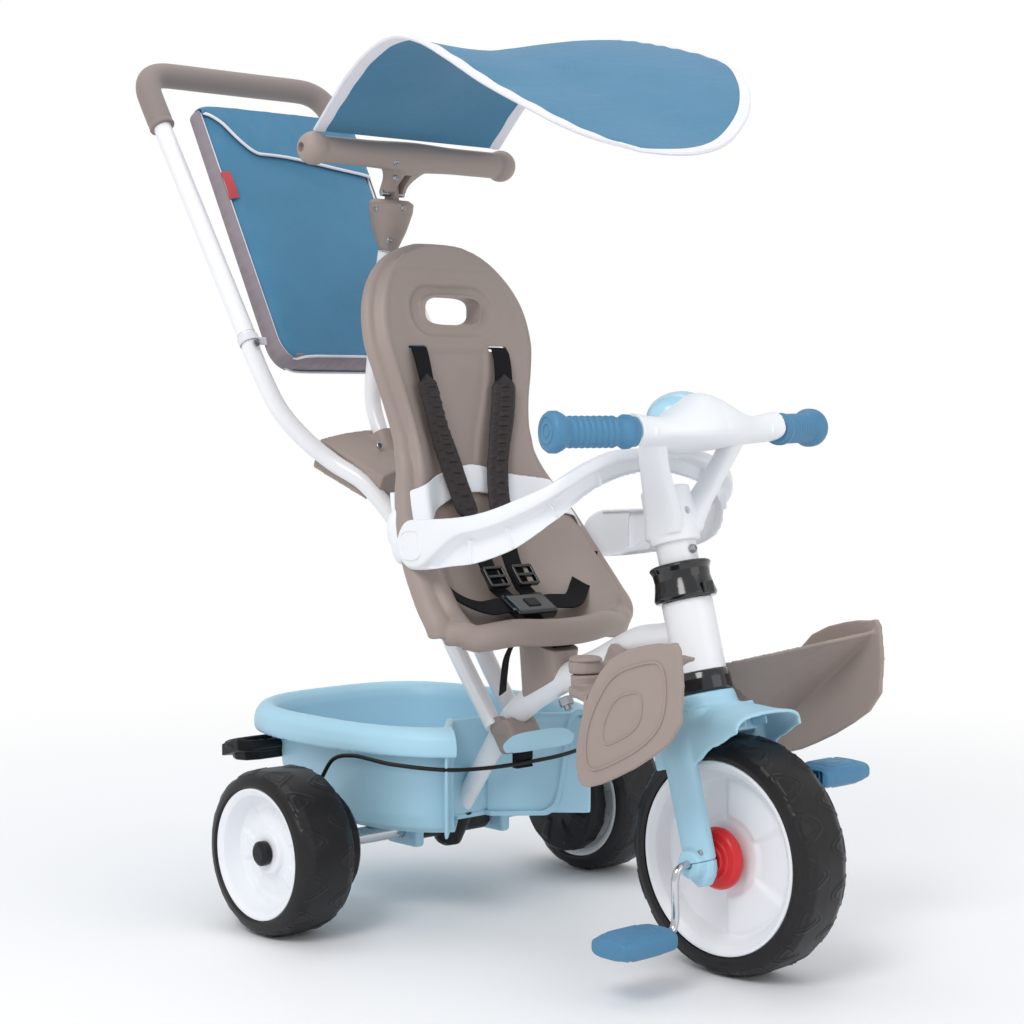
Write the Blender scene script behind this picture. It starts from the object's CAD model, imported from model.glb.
import math
import bpy
import bmesh
import numpy as np
from mathutils import Matrix, Vector


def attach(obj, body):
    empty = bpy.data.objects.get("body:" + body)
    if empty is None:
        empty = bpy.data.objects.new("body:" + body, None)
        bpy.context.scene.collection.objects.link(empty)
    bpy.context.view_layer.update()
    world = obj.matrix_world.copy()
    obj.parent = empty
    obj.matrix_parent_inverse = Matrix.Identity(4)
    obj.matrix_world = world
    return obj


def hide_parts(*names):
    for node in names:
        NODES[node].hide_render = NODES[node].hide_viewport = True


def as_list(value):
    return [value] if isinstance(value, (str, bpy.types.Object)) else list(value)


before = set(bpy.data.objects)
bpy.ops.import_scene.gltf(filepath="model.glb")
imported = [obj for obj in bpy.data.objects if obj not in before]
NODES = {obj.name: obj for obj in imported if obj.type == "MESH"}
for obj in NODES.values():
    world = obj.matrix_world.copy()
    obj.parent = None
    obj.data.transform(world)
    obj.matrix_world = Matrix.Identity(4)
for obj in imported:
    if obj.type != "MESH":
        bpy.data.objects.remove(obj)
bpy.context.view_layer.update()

YS = -181.465            # the layout is written about the rear axle, as in the part

# ------------------------------------------------------------------ camera
def make_camera():
    a, e, r = math.radians(-42.748), math.radians(3.051), math.radians(-0.128)
    back = Vector((math.sin(a) * math.cos(e), -math.cos(a) * math.cos(e), math.sin(e)))
    right = Vector((0, 0, 1)).cross(back).normalized()
    up = back.cross(right)
    r1 = math.cos(r) * right + math.sin(r) * up
    u1 = -math.sin(r) * right + math.cos(r) * up
    cam = bpy.data.objects.new("camera", bpy.data.cameras.new("camera"))
    cam.data.lens, cam.data.sensor_width = 75.01, 36.0
    cam.data.clip_start, cam.data.clip_end = 0.05, 100
    m = Matrix.Identity(4)
    for i in range(3):
        m[i][0], m[i][1], m[i][2] = r1[i], u1[i], back[i]
    m[0][3], m[1][3], m[2][3] = -1.6173, -1.791565, 0.581
    cam.matrix_world = m
    bpy.context.scene.collection.objects.link(cam)
    bpy.context.scene.camera = cam

make_camera()

# ------------------------------------------------------------------ maths
def V(*p):
    return np.array(p, float)

def unit(v):
    return v / max(1e-12, np.linalg.norm(v))

def lerp(a, b, t):
    return a + (b - a) * t

def cl(t):
    return min(1.0, max(0.0, t))

def sm(t):
    t = cl(t)
    return t * t * (3 - 2 * t)

def sgn(x):
    return -1.0 if x < 0 else 1.0

class CR:
    """Centripetal Catmull-Rom line through points, as in the part."""
    def __init__(self, pts, closed=False, n=400):
        self.p, self.closed = [np.array(q, float) for q in pts], closed
        self.tt = np.linspace(0, 1, n + 1)
        s = np.array([self.get(t) for t in self.tt])
        self.cum = np.r_[0, np.cumsum(np.linalg.norm(np.diff(s, axis=0), axis=1))]
        self.length = self.cum[-1]

    def get(self, t):
        p, l = self.p, len(self.p)
        q = (l - (0 if self.closed else 1)) * t
        i = int(math.floor(q)); w = q - i
        if self.closed:
            i %= l
        elif i >= l - 1:
            i, w = l - 2, 1.0
        if self.closed or i > 0:
            p0 = p[(i - 1) % l]
        else:
            p0 = 2 * p[0] - p[1]
        p1, p2 = p[i % l], p[(i + 1) % l]
        p3 = p[(i + 2) % l] if self.closed or i + 2 < l else 2 * p[l - 1] - p[l - 2]
        d0, d1, d2 = (max(1e-9, np.sum((b - a) ** 2)) ** 0.25 for a, b in ((p0, p1), (p1, p2), (p2, p3)))
        if d1 < 1e-4: d1 = 1.0
        if d0 < 1e-4: d0 = d1
        if d2 < 1e-4: d2 = d1
        t1 = ((p1 - p0) / d0 - (p2 - p0) / (d0 + d1) + (p2 - p1) / d1) * d1
        t2 = ((p2 - p1) / d1 - (p3 - p1) / (d1 + d2) + (p3 - p2) / d2) * d1
        return p1 + t1 * w + (-3 * p1 + 3 * p2 - 2 * t1 - t2) * w * w + (2 * p1 - 2 * p2 + t1 + t2) * w ** 3

    def at(self, u):
        t = float(np.interp(cl(u) * self.length, self.cum, self.tt))
        return self.get(t)

    def tan(self, u, e=1e-3):
        return unit(self.at(min(1, u + e)) - self.at(max(0, u - e)))

    def run(self, n):
        return [self.at(i / n) for i in range(n + 1)]

def ramp(rows, t, soft=False):
    if t <= rows[0][0]:
        return rows[0][1]
    for (t0, a), (t1, b) in zip(rows, rows[1:]):
        if t <= t1:
            k = (t - t0) / (t1 - t0)
            return lerp(a, b, sm(k) if soft else k)
    return rows[-1][1]

def superxy(a, rx, ry, n):
    c, s = math.cos(a), math.sin(a)
    return rx * sgn(c) * abs(c) ** (2 / n), ry * sgn(s) * abs(s) ** (2 / n)

# ------------------------------------------------------------------ meshes: (points in mm about the rear axle, faces, uv or None)
def grid(P, cu=False, cv=False):
    P = np.asarray(P, float); nu, nv = P.shape[:2]
    F = []
    for i in range(nu if cu else nu - 1):
        for j in range(nv if cv else nv - 1):
            a, b = i * nv + j, ((i + 1) % nu) * nv + j
            c, d = ((i + 1) % nu) * nv + (j + 1) % nv, i * nv + (j + 1) % nv
            F.append((a, b, c, d))
    return P.reshape(-1, 3), F, None

def slab(nu, nv, f, uv=None):
    top = np.array([[f(i / nu, j / nv, 1) for j in range(nv + 1)] for i in range(nu + 1)])
    bot = np.array([[f(i / nu, j / nv, 0) for j in range(nv + 1)] for i in range(nu + 1)])
    n = (nu + 1) * (nv + 1)
    k = lambda i, j: i * (nv + 1) + j
    F = []
    for i in range(nu):
        for j in range(nv):
            q = (k(i, j), k(i + 1, j), k(i + 1, j + 1), k(i, j + 1))
            F += [q, tuple(n + x for x in reversed(q))]
    for i in range(nu):
        F += [(k(i, 0), n + k(i, 0), n + k(i + 1, 0), k(i + 1, 0)), (k(i, nv), k(i + 1, nv), n + k(i + 1, nv), n + k(i, nv))]
    for j in range(nv):
        F += [(k(0, j), k(0, j + 1), n + k(0, j + 1), n + k(0, j)), (k(nu, j), n + k(nu, j), n + k(nu, j + 1), k(nu, j + 1))]
    U = None
    if uv:
        one = [(uv[0] * i / nu, uv[1] * j / nv) for i in range(nu + 1) for j in range(nv + 1)]
        U = np.array(one + one)
    return np.r_[top.reshape(-1, 3), bot.reshape(-1, 3)], F, U

def cap_rings(rings, closed_ends=True):
    """Rings of equal length joined into a tube, closed by a fan at each end."""
    R = np.asarray(rings, float); nr, n = R.shape[:2]
    P, F, _ = grid(R, cv=True)
    if closed_ends:
        P = np.r_[P, [R[0].mean(0), R[-1].mean(0)]]
        for j in range(n):
            F.append((nr * n, j, (j + 1) % n))
            F.append((nr * n + 1, (nr - 1) * n + (j + 1) % n, (nr - 1) * n + j))
    return P, F, None

def loft(na, nl, ring, caps=6):
    return cap_rings([[ring(t, 2 * math.pi * k / na) for k in range(na)] for t in [i / nl for i in range(nl + 1)]])

def frames(pts, up=None):
    """Points, with a side and an up direction carried along without twist."""
    pts = np.array(pts); T = np.gradient(pts, axis=0); T /= np.linalg.norm(T, axis=1)[:, None]
    n = np.cross(T[0], up if up is not None else (V(0, 0, 1) if abs(T[0][2]) < 0.9 else V(0, 1, 0))); n = unit(n)
    out = []
    for i, t in enumerate(T):
        n = unit(n - t * (n @ t)); out.append((pts[i], n, np.cross(t, n)))
    return out, T

def tube(pts, r, n=24, rounded=0.0, flat=1.0, up=None):
    fr, T = frames(pts, up); rr = r if callable(r) else (lambda t: r)
    N = len(fr) - 1; rings = []
    s = np.r_[0, np.cumsum(np.linalg.norm(np.diff(np.array(pts), axis=0), axis=1))]; L = s[-1]
    for i, (p, a, b) in enumerate(fr):
        rad = rr(s[i] / L)
        if rounded:
            d = min(s[i], L - s[i])
            if d < rounded: rad *= math.sqrt(max(0.02, 1 - (1 - d / rounded) ** 2))
        rings.append([p + a * rad * math.cos(2 * math.pi * k / n) + b * rad * flat * math.sin(2 * math.pi * k / n) for k in range(n)])
    return cap_rings(rings)

def fillet(prof, r, k=4):
    """Rounds the corners of a [radius, length] profile."""
    closed = np.allclose(prof[0], prof[-1]); P = [np.array(p, float) for p in (prof[:-1] if closed else prof)]
    n = len(P); out = []
    for i in range(n):
        if not closed and i in (0, n - 1):
            out.append(P[i]); continue
        a, b, c = P[i - 1], P[i], P[(i + 1) % n]
        u, v = a - b, c - b; lu, lv = np.linalg.norm(u), np.linalg.norm(v)
        if lu < 1e-9 or lv < 1e-9: continue
        u, v = u / lu, v / lv; ang = math.acos(max(-1, min(1, u @ v)))
        if ang > math.radians(172): out.append(b); continue
        d = min(r / math.tan(ang / 2), 0.45 * lu, 0.45 * lv)
        p, q = b + u * d, b + v * d
        for j in range(k + 1):
            t = j / k; out.append((1 - t) ** 2 * p + 2 * t * (1 - t) * b + t * t * q)
    if closed: out.append(out[0])
    return [list(p) for p in out]

def lathe(prof, origin, axis, n=64, shape=None):
    """Turned body from a profile of [radius, length]; shape(radius, length, angle) may change both."""
    axis = unit(np.array(axis, float)); a = unit(np.cross(axis, V(0, 0, 1)) if abs(axis[2]) < 0.9 else np.cross(axis, V(1, 0, 0))); b = np.cross(axis, a)
    closed = np.allclose(prof[0], prof[-1]) and prof[0][0] > 1e-6
    P = prof[:-1] if closed else prof
    rows, idx, vs, F = [], 0, [], []
    for r, y in P:
        if r < 1e-6:
            vs.append(origin + axis * y); rows.append([idx] * n); idx += 1
        else:
            row = []
            for k in range(n):
                t = 2 * math.pi * k / n
                rr, yy = shape(r, y, t) if shape else (r, y)
                vs.append(origin + axis * yy + (a * math.cos(t) + b * math.sin(t)) * rr); row.append(idx); idx += 1
            rows.append(row)
    m = len(rows)
    for i in range(m if closed else m - 1):
        A, B = rows[i], rows[(i + 1) % m]
        for k in range(n):
            q = [A[k], A[(k + 1) % n], B[(k + 1) % n], B[k]]
            q = [x for j, x in enumerate(q) if x != q[j - 1]]
            if len(q) > 2: F.append(tuple(q))
    return np.array(vs), F, None

def ball(c, rx, ry=None, rz=None, n=40):
    ry, rz = ry or rx, rz or rx
    prof = [[math.sin(math.pi * i / (n // 2)), -math.cos(math.pi * i / (n // 2))] for i in range(n // 2 + 1)]
    prof[0][0] = prof[-1][0] = 0.0
    P, F, _ = lathe(prof, V(0, 0, 0), V(0, 0, 1), n)
    return P * V(rx, ry, rz) + np.array(c, float), F, None

def cyl(a, b, r0, r1=None, n=40, edge=0.8):
    a, b = np.array(a, float), np.array(b, float); r1 = r0 if r1 is None else r1; L = np.linalg.norm(b - a)
    return lathe(fillet([[0, 0], [r0, 0], [r1, L], [0, L]], edge), a, b - a, n)

def rot(axis, ang):
    c, s = math.cos(ang), math.sin(ang)
    return {"x": np.array([[1, 0, 0], [0, c, -s], [0, s, c]]), "y": np.array([[c, 0, s], [0, 1, 0], [-s, 0, c]]), "z": np.array([[c, -s, 0], [s, c, 0], [0, 0, 1]])}[axis]

def rbox(c, s, r, R=None, k=5, n=14):
    """Soft-cornered block: a cube grid pulled onto its rounded shape."""
    h = np.array(s, float) / 2; r = min(r, *(h * 0.999)); P, F = [], []
    seen = {}
    def pt(x, y, z):
        key = (round(x, 5), round(y, 5), round(z, 5))
        if key not in seen:
            q = np.array([x, y, z]) * h; core = np.clip(q, -(h - r), h - r); d = q - core
            seen[key] = len(P); P.append(core + (unit(d) * r if np.linalg.norm(d) > 1e-9 else 0))
        return seen[key]
    g = np.linspace(-1, 1, n + 1); g = np.sin(g * math.pi / 2) * 0.35 + g * 0.65
    for ax in range(3):
        for sd in (-1, 1):
            for i in range(n):
                for j in range(n):
                    q = []
                    for u, v in ((g[i], g[j]), (g[i + 1], g[j]), (g[i + 1], g[j + 1]), (g[i], g[j + 1])):
                        x = [0, 0, 0]; x[ax] = sd; x[(ax + 1) % 3] = u; x[(ax + 2) % 3] = v
                        q.append(pt(*x))
                    F.append(tuple(q if sd > 0 else reversed(q)))
    P = np.array(P)
    if R is not None: P = P @ R.T
    return P + np.array(c, float), F, None

def mirror(part):
    P, F, U = part
    return P * V(-1, 1, 1), [tuple(reversed(f)) for f in F], U

def merge(parts):
    Ps, Fs, Us, o = [], [], [], 0
    anyuv = any(p[2] is not None for p in parts)
    for P, F, U in parts:
        Ps.append(P); Fs += [tuple(o + x for x in f) for f in F]; o += len(P)
        if anyuv: Us.append(U if U is not None else np.zeros((len(P), 2)))
    return np.concatenate(Ps), Fs, (np.concatenate(Us) if anyuv else None)

def to_mesh(name, part, sharp=38, fix=True):
    P, F, U = part
    me = bpy.data.meshes.new(name)
    Q = (P + V(0, YS, 0)) * 0.001
    me.from_pydata(Q.tolist(), [], [list(f) for f in F])
    if fix:
        bm = bmesh.new(); bm.from_mesh(me)
        bmesh.ops.recalc_face_normals(bm, faces=bm.faces); bm.to_mesh(me); bm.free()
    if U is not None:
        lay = me.uv_layers.new(name="cloth")
        li = np.zeros(len(me.loops), np.int32); me.loops.foreach_get("vertex_index", li)
        lay.data.foreach_set("uv", U[li].astype(np.float32).ravel())
    me.shade_smooth()
    if sharp: me.set_sharp_from_angle(angle=math.radians(sharp))
    return me

def link(name, me):
    ob = bpy.data.objects.new(name, me); bpy.context.scene.collection.objects.link(ob)
    return ob

def bake(ob, sharp=38):
    """Applies the modifiers of ob to a fresh mesh."""
    bpy.context.view_layer.update()
    dg = bpy.context.evaluated_depsgraph_get()
    me = bpy.data.meshes.new_from_object(ob.evaluated_get(dg), preserve_all_data_layers=True, depsgraph=dg)
    ob.modifiers.clear(); old = ob.data; ob.data = me; bpy.data.meshes.remove(old)
    me.shade_smooth()
    if sharp: me.set_sharp_from_angle(angle=math.radians(sharp))
    return ob

def piece(name, parts, mat, body, replaces=(), sharp=38, sub=0, fix=True):
    part = merge(parts) if isinstance(parts, list) else parts
    ob = link(name, to_mesh(name, part, sharp, fix))
    ob.data.materials.append(mat)
    if sub:
        m = ob.modifiers.new("sub", "SUBSURF"); m.levels = m.render_levels = sub
    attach(ob, body)
    if replaces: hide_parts(*replaces)
    return ob

def fused(name, parts, mat, body, replaces=(), voxel=1.6, smooth=6, factor=0.5, cuts=(), sharp=42):
    """Overlapping closed parts merged into one moulded skin, with crisp cuts made after the smoothing."""
    ob = link(name, to_mesh(name, merge(parts), None))
    ob.data.materials.append(mat)
    m = ob.modifiers.new("r", "REMESH"); m.mode = "VOXEL"; m.voxel_size = voxel * 0.001; m.use_smooth_shade = True
    if smooth:
        m = ob.modifiers.new("s", "SMOOTH"); m.factor, m.iterations = factor, smooth
    bake(ob, None)
    for i, c in enumerate(cuts):
        co = link(f"{name}.cut{i}", to_mesh("c", c, None))
        m = ob.modifiers.new("b", "BOOLEAN"); m.operation = "DIFFERENCE"; m.object = co; m.solver = "EXACT"
        bake(ob, None); bpy.data.objects.remove(co)
    ob.data.shade_smooth()
    if sharp: ob.data.set_sharp_from_angle(angle=math.radians(sharp))
    if not ob.data.materials: ob.data.materials.append(mat)
    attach(ob, body)
    if replaces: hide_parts(*replaces)
    return ob

def soften(node, mat, voxel=1.5, smooth=10, factor=0.5):
    """A CAD node whose shape is right gets a moulded skin by modifiers and its material."""
    ob = NODES[node]
    ob.data.materials.clear(); ob.data.materials.append(mat)
    m = ob.modifiers.new("r", "REMESH"); m.mode = "VOXEL"; m.voxel_size = voxel * 0.001; m.use_smooth_shade = True
    m = ob.modifiers.new("s", "SMOOTH"); m.factor, m.iterations = factor, smooth
    return ob

# ------------------------------------------------------------------ materials
def lin(c):
    c = [x / 255 for x in c]
    return [x / 12.92 if x <= 0.04045 else ((x + 0.055) / 1.055) ** 2.4 for x in c]

def material(name, rgb, rough=0.45, metal=0.0, var=0.03, var_scale=7.0, grain=(1400, 0.10, 0.00012), ripple=None, rough_var=0.05, sheen=0.0, coat=0.0, weave=None, spec=0.5, dust=0.0):
    m = bpy.data.materials.new(name); m.use_nodes = True
    nt = m.node_tree; b = nt.nodes["Principled BSDF"]; L = nt.links.new
    N = nt.nodes.new
    tc = N("ShaderNodeTexCoord")
    c = lin(rgb)
    n1 = N("ShaderNodeTexNoise"); n1.inputs["Scale"].default_value = var_scale; n1.inputs["Detail"].default_value = 4
    L(tc.outputs["Object"], n1.inputs["Vector"])
    cr = N("ShaderNodeValToRGB"); e = cr.color_ramp.elements
    e[0].position, e[1].position = 0.32, 0.70
    e[0].color = [x * (1 - var) for x in c] + [1]; e[1].color = [min(1, x * (1 + var)) for x in c] + [1]
    L(n1.outputs["Fac"], cr.inputs["Fac"])
    col = cr.outputs["Color"]
    if dust:
        nd = N("ShaderNodeTexNoise"); nd.inputs["Scale"].default_value = 38; nd.inputs["Detail"].default_value = 8; nd.inputs["Roughness"].default_value = 0.7
        L(tc.outputs["Object"], nd.inputs["Vector"])
        rr = N("ShaderNodeValToRGB"); rr.color_ramp.elements[0].position = 0.45; rr.color_ramp.elements[1].position = 0.8
        rr.color_ramp.elements[1].color = (dust, dust, dust, 1)
        L(nd.outputs["Fac"], rr.inputs["Fac"])
        mx = N("ShaderNodeMix"); mx.data_type = "RGBA"; mx.blend_type = "ADD"; mx.inputs["Factor"].default_value = 1.0
        L(col, mx.inputs["A"]); L(rr.outputs["Color"], mx.inputs["B"]); col = mx.outputs["Result"]
    h = None
    if weave:
        uvn = N("ShaderNodeUVMap"); uvn.uv_map = "cloth"
        waves = []
        for d in ("X", "Y"):
            w = N("ShaderNodeTexWave"); w.wave_type = "BANDS"; w.bands_direction = d; w.inputs["Scale"].default_value = weave[0]; w.inputs["Distortion"].default_value = 0.35; w.inputs["Detail"].default_value = 1.5
            L(uvn.outputs["UV"], w.inputs["Vector"]); waves.append(w.outputs["Fac"])
        ma = N("ShaderNodeMath"); ma.operation = "MAXIMUM"; L(waves[0], ma.inputs[0]); L(waves[1], ma.inputs[1]); h = ma.outputs[0]
        mw = N("ShaderNodeMix"); mw.data_type = "RGBA"; mw.blend_type = "MULTIPLY"; mw.inputs["Factor"].default_value = weave[2]
        cw = N("ShaderNodeValToRGB"); cw.color_ramp.elements[0].color = (0.62, 0.62, 0.62, 1); L(h, cw.inputs["Fac"])
        L(col, mw.inputs["A"]); L(cw.outputs["Color"], mw.inputs["B"]); col = mw.outputs["Result"]
    L(col, b.inputs["Base Color"])
    n2 = N("ShaderNodeTexNoise"); n2.inputs["Scale"].default_value = 16; n2.inputs["Detail"].default_value = 5
    L(tc.outputs["Object"], n2.inputs["Vector"])
    mr = N("ShaderNodeMapRange"); mr.inputs["To Min"].default_value = max(0.03, rough - rough_var); mr.inputs["To Max"].default_value = min(1, rough + rough_var)
    L(n2.outputs["Fac"], mr.inputs["Value"]); L(mr.outputs["Result"], b.inputs["Roughness"])
    n3 = N("ShaderNodeTexNoise"); n3.inputs["Scale"].default_value = grain[0]; n3.inputs["Detail"].default_value = 3
    L(tc.outputs["Object"], n3.inputs["Vector"])
    bp = N("ShaderNodeBump"); bp.inputs["Strength"].default_value = grain[1]; bp.inputs["Distance"].default_value = grain[2]
    L(n3.outputs["Fac"], bp.inputs["Height"]); last = bp
    if ripple:
        n4 = N("ShaderNodeTexNoise"); n4.inputs["Scale"].default_value = ripple[0]; n4.inputs["Detail"].default_value = 3; n4.inputs["Distortion"].default_value = 0.4
        L(tc.outputs["Object"], n4.inputs["Vector"])
        b4 = N("ShaderNodeBump"); b4.inputs["Strength"].default_value = ripple[1]; b4.inputs["Distance"].default_value = ripple[2]
        L(n4.outputs["Fac"], b4.inputs["Height"]); L(last.outputs["Normal"], b4.inputs["Normal"]); last = b4
    if h is not None:
        b5 = N("ShaderNodeBump"); b5.inputs["Strength"].default_value = weave[1]; b5.inputs["Distance"].default_value = 0.0003
        L(h, b5.inputs["Height"]); L(last.outputs["Normal"], b5.inputs["Normal"]); last = b5
    L(last.outputs["Normal"], b.inputs["Normal"])
    b.inputs["Metallic"].default_value = metal
    b.inputs["Specular IOR Level"].default_value = spec
    if sheen:
        b.inputs["Sheen Weight"].default_value = sheen; b.inputs["Sheen Roughness"].default_value = 0.5
    if coat:
        b.inputs["Coat Weight"].default_value = coat; b.inputs["Coat Roughness"].default_value = 0.12
    m.diffuse_color = c + [1]
    return m

M = dict(
    tube=material("white_paint", (238, 238, 241), 0.30, var=0.012, grain=(500, 0.04, 0.0001), ripple=(60, 0.05, 0.0006), coat=0.35),
    white=material("white_plastic", (237, 239, 243), 0.38, var=0.012, grain=(1700, 0.10, 0.0001)),
    taupe=material("taupe_plastic", (156, 141, 134), 0.50, var=0.03, grain=(1500, 0.22, 0.00014), dust=0.006),
    taupe_soft=material("taupe_soft_grip", (136, 124, 121), 0.72, var=0.03, grain=(900, 0.40, 0.0002), sheen=0.15),
    light=material("light_blue_plastic", (168, 210, 229), 0.42, var=0.02, grain=(1600, 0.14, 0.00012)),
    mid=material("mid_blue_plastic", (72, 128, 165), 0.50, var=0.03, grain=(1500, 0.22, 0.00015)),
    dome=material("dome_blue_plastic", (176, 216, 235), 0.24, var=0.015, grain=(1500, 0.04, 0.0001), coat=0.4),
    fabric=material("blue_fabric", (66, 124, 158), 0.82, var=0.045, var_scale=9, grain=(2600, 0.25, 0.00015), ripple=(34, 0.35, 0.004), weave=(150, 0.45, 0.35), sheen=0.12),
    trim=material("white_piping", (222, 221, 229), 0.75, var=0.03, grain=(2600, 0.35, 0.00015), ripple=(120, 0.2, 0.001), sheen=0.3),
    gusset=material("grey_gusset", (146, 135, 143), 0.80, var=0.05, grain=(2600, 0.25, 0.00015), ripple=(42, 0.5, 0.005), weave=(150, 0.4, 0.3), sheen=0.1),
    tag=material("red_tag", (176, 52, 60), 0.7, var=0.05, grain=(2600, 0.3, 0.00015), sheen=0.3),
    tyre=material("black_tyre", (22, 21, 23), 0.38, var=0.10, grain=(1300, 0.18, 0.00014), dust=0.0015, spec=0.36),
    gloss=material("gloss_black", (16, 16, 18), 0.14, var=0.05, grain=(900, 0.02, 0.00005), ripple=(30, 0.03, 0.001), coat=0.5, rough_var=0.03),
    matt=material("matt_black", (22, 22, 24), 0.42, var=0.08, grain=(1500, 0.25, 0.00015), dust=0.001, spec=0.3),
    pad=material("charcoal_pad", (52, 45, 45), 0.55, var=0.08, grain=(1200, 0.4, 0.0002), spec=0.3),
    web=material("black_webbing", (19, 19, 22), 0.72, var=0.10, grain=(2200, 0.3, 0.0002), weave=(95, 0.9, 0.5), spec=0.2),
    red=material("red_plastic", (214, 34, 40), 0.34, var=0.03, grain=(1500, 0.08, 0.0001)),
    chrome=material("chrome", (205, 207, 210), 0.16, metal=1.0, var=0.02, grain=(700, 0.04, 0.00006), ripple=(45, 0.04, 0.0008), rough_var=0.05),
    screw=material("screw_steel", (168, 170, 174), 0.28, metal=1.0, var=0.05, grain=(1500, 0.1, 0.0001)),
    dark=material("dark_recess", (22, 20, 20), 0.7, var=0.1),
    rubber=material("black_rubber", (20, 20, 22), 0.5, var=0.08, grain=(1500, 0.2, 0.0001), spec=0.3),
)

# ------------------------------------------------------------------ layout shared with the part
REAR_R, REAR_W, REAR_X, REAR_Y = 90.4, 75.6, 240.4, 250.0
FRONT_R, FRONT_W, FRONT_Y = 120.2, 69.4, -195.1
TILT = math.asin(0.26724); SN, CS = math.sin(TILT), math.cos(TILT)
CRANK_R, ROD, PEDAL_X = 65.0, 4.0, 150.0
HX, HTZ, HTY = 141.6, 985.0, 663.3
FA, UP, AX = V(0, FRONT_Y, FRONT_R), V(0, SN, CS), V(1, 0, 0)

def st(x, b, s):
    return V(x, FRONT_Y + b * CS + s * SN, FRONT_R - b * SN + s * CS)

def screw(c, axis, r=3.2, h=1.6):
    """Pan-head screw with a crossed recess."""
    axis = unit(np.array(axis, float)); c = np.array(c, float)
    def f(rr, y, t):
        d = min(abs(rr * math.sin(t)), abs(rr * math.cos(t)))
        return rr, y - (0.9 if d < 0.55 and rr < r * 0.62 and y > h * 0.5 else 0)
    prof = [[0, h]] + [[r * k / 12, h * math.sqrt(max(0, 1 - (k / 12) ** 4 * 0.85))] for k in range(1, 13)] + [[r, -1], [0, -1]]
    return lathe(prof[::-1], c, axis, 32, f)

# ------------------------------------------------------------------ wheels
def tri(a, b, s=1.0):
    """Distance measure whose level lines are rounded triangles."""
    k = 0.55 / s
    v = [math.exp(k * (a * math.cos(t) + b * math.sin(t))) for t in (math.pi / 2, math.pi / 2 + 2.0944, math.pi / 2 + 4.1888)]
    return math.log(sum(v) / 3) / k + 0.12 * math.hypot(a, b)

def emboss(a, b, s):
    d = tri(a, b, s); out = 0.0
    for c, w, h in ((8.8 * s, 1.15, 1.0), (5.0 * s, 1.05, 0.9)):
        out += h * math.exp(-((d - c) / w) ** 2)
    return out - 0.35 * math.exp(-(d / (3.0 * s)) ** 4)

def tyre(R, W, rim, x, y, units, n):
    h = W / 2
    base = fillet([[rim, -h + 2.0], [R - 17, -h + 0.2], [R - 5.5, -h + 3.2], [R - 0.6, -h + 15], [R, 0], [R - 0.6, h - 15], [R - 5.5, h - 3.2], [R - 17, h - 0.2], [rim, h - 2.0]], 12, 8)
    P = np.array(base); s = np.r_[0, np.cumsum(np.linalg.norm(np.diff(P, axis=0), axis=1))]
    m = int(s[-1] / 1.45); t = np.linspace(0, s[-1], m)
    prof = [[float(np.interp(q, s, P[:, 0])), float(np.interp(q, s, P[:, 1]))] for q in t]
    prof[0] = [rim, -h + 2.0]; prof[-1] = [rim, h - 2.0]
    mid = s[-1] / 2; pitch = 2 * math.pi * R / units
    cache = {(round(r, 4), round(yy, 4)): q - mid for (r, yy), q in zip(prof, t)}
    nrm = {}
    for i, (r, yy) in enumerate(prof):
        a, b = prof[max(0, i - 1)], prof[min(m - 1, i + 1)]
        d = unit(V(b[0] - a[0], b[1] - a[1])); nrm[(round(r, 4), round(yy, 4))] = (d[1], -d[0])
    def shape(r, yy, th):
        key = (round(r, 4), round(yy, 4)); b = cache.get(key)
        if b is None: return r, yy
        arc = th * R; e = 0.0
        for row, off in ((-1, 0.0), (1, 0.5)):
            k = round(arc / pitch - off); a = arc - (k + off) * pitch
            bb = (b - row * 21.5) * row
            if abs(a) < 17 and abs(bb) < 18: e += emboss(a, bb, 1.18)
        # fine rings on the side wall and a soft channel in the middle of the tread
        e += -0.5 * math.exp(-(b / 1.0) ** 2) * 0
        e += 0.35 * math.exp(-((r - (rim + 6.5)) / 0.7) ** 2) * (1 if abs(yy) > h - 6 else 0)
        nx, ny = nrm[key]
        return r + nx * e, yy + ny * e
    prof2 = prof + [prof[0]]
    return lathe(prof2, V(x, y, R), AX, n, shape)

def wheel_disc(prof, c, n, spokes, r0, r1, depth, width):
    def shape(r, yy, th):
        if r0 < r < r1:
            e = sm((r - r0) / 7) * sm((r1 - r) / 7)
            k = abs(((th / (2 * math.pi) * spokes) % 1) - 0.5) * 2        # 0 on a spoke, 1 between
            arm = sm((width - k) / 0.14)
            yy = yy + sgn(yy) * depth * e * (arm - 0.5)
        return r, yy
    return lathe(prof, c, AX, n, shape)

def dense(prof, step=1.6, r0=0, r1=999):
    out = []
    for a, b in zip(prof, prof[1:]):
        L = math.hypot(b[0] - a[0], b[1] - a[1]); k = max(1, int(L / step)) if min(a[0], b[0]) < r1 and max(a[0], b[0]) > r0 else 1
        out += [[lerp(a[0], b[0], i / k), lerp(a[1], b[1], i / k)] for i in range(k)]
    return out + [prof[-1]]

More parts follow.
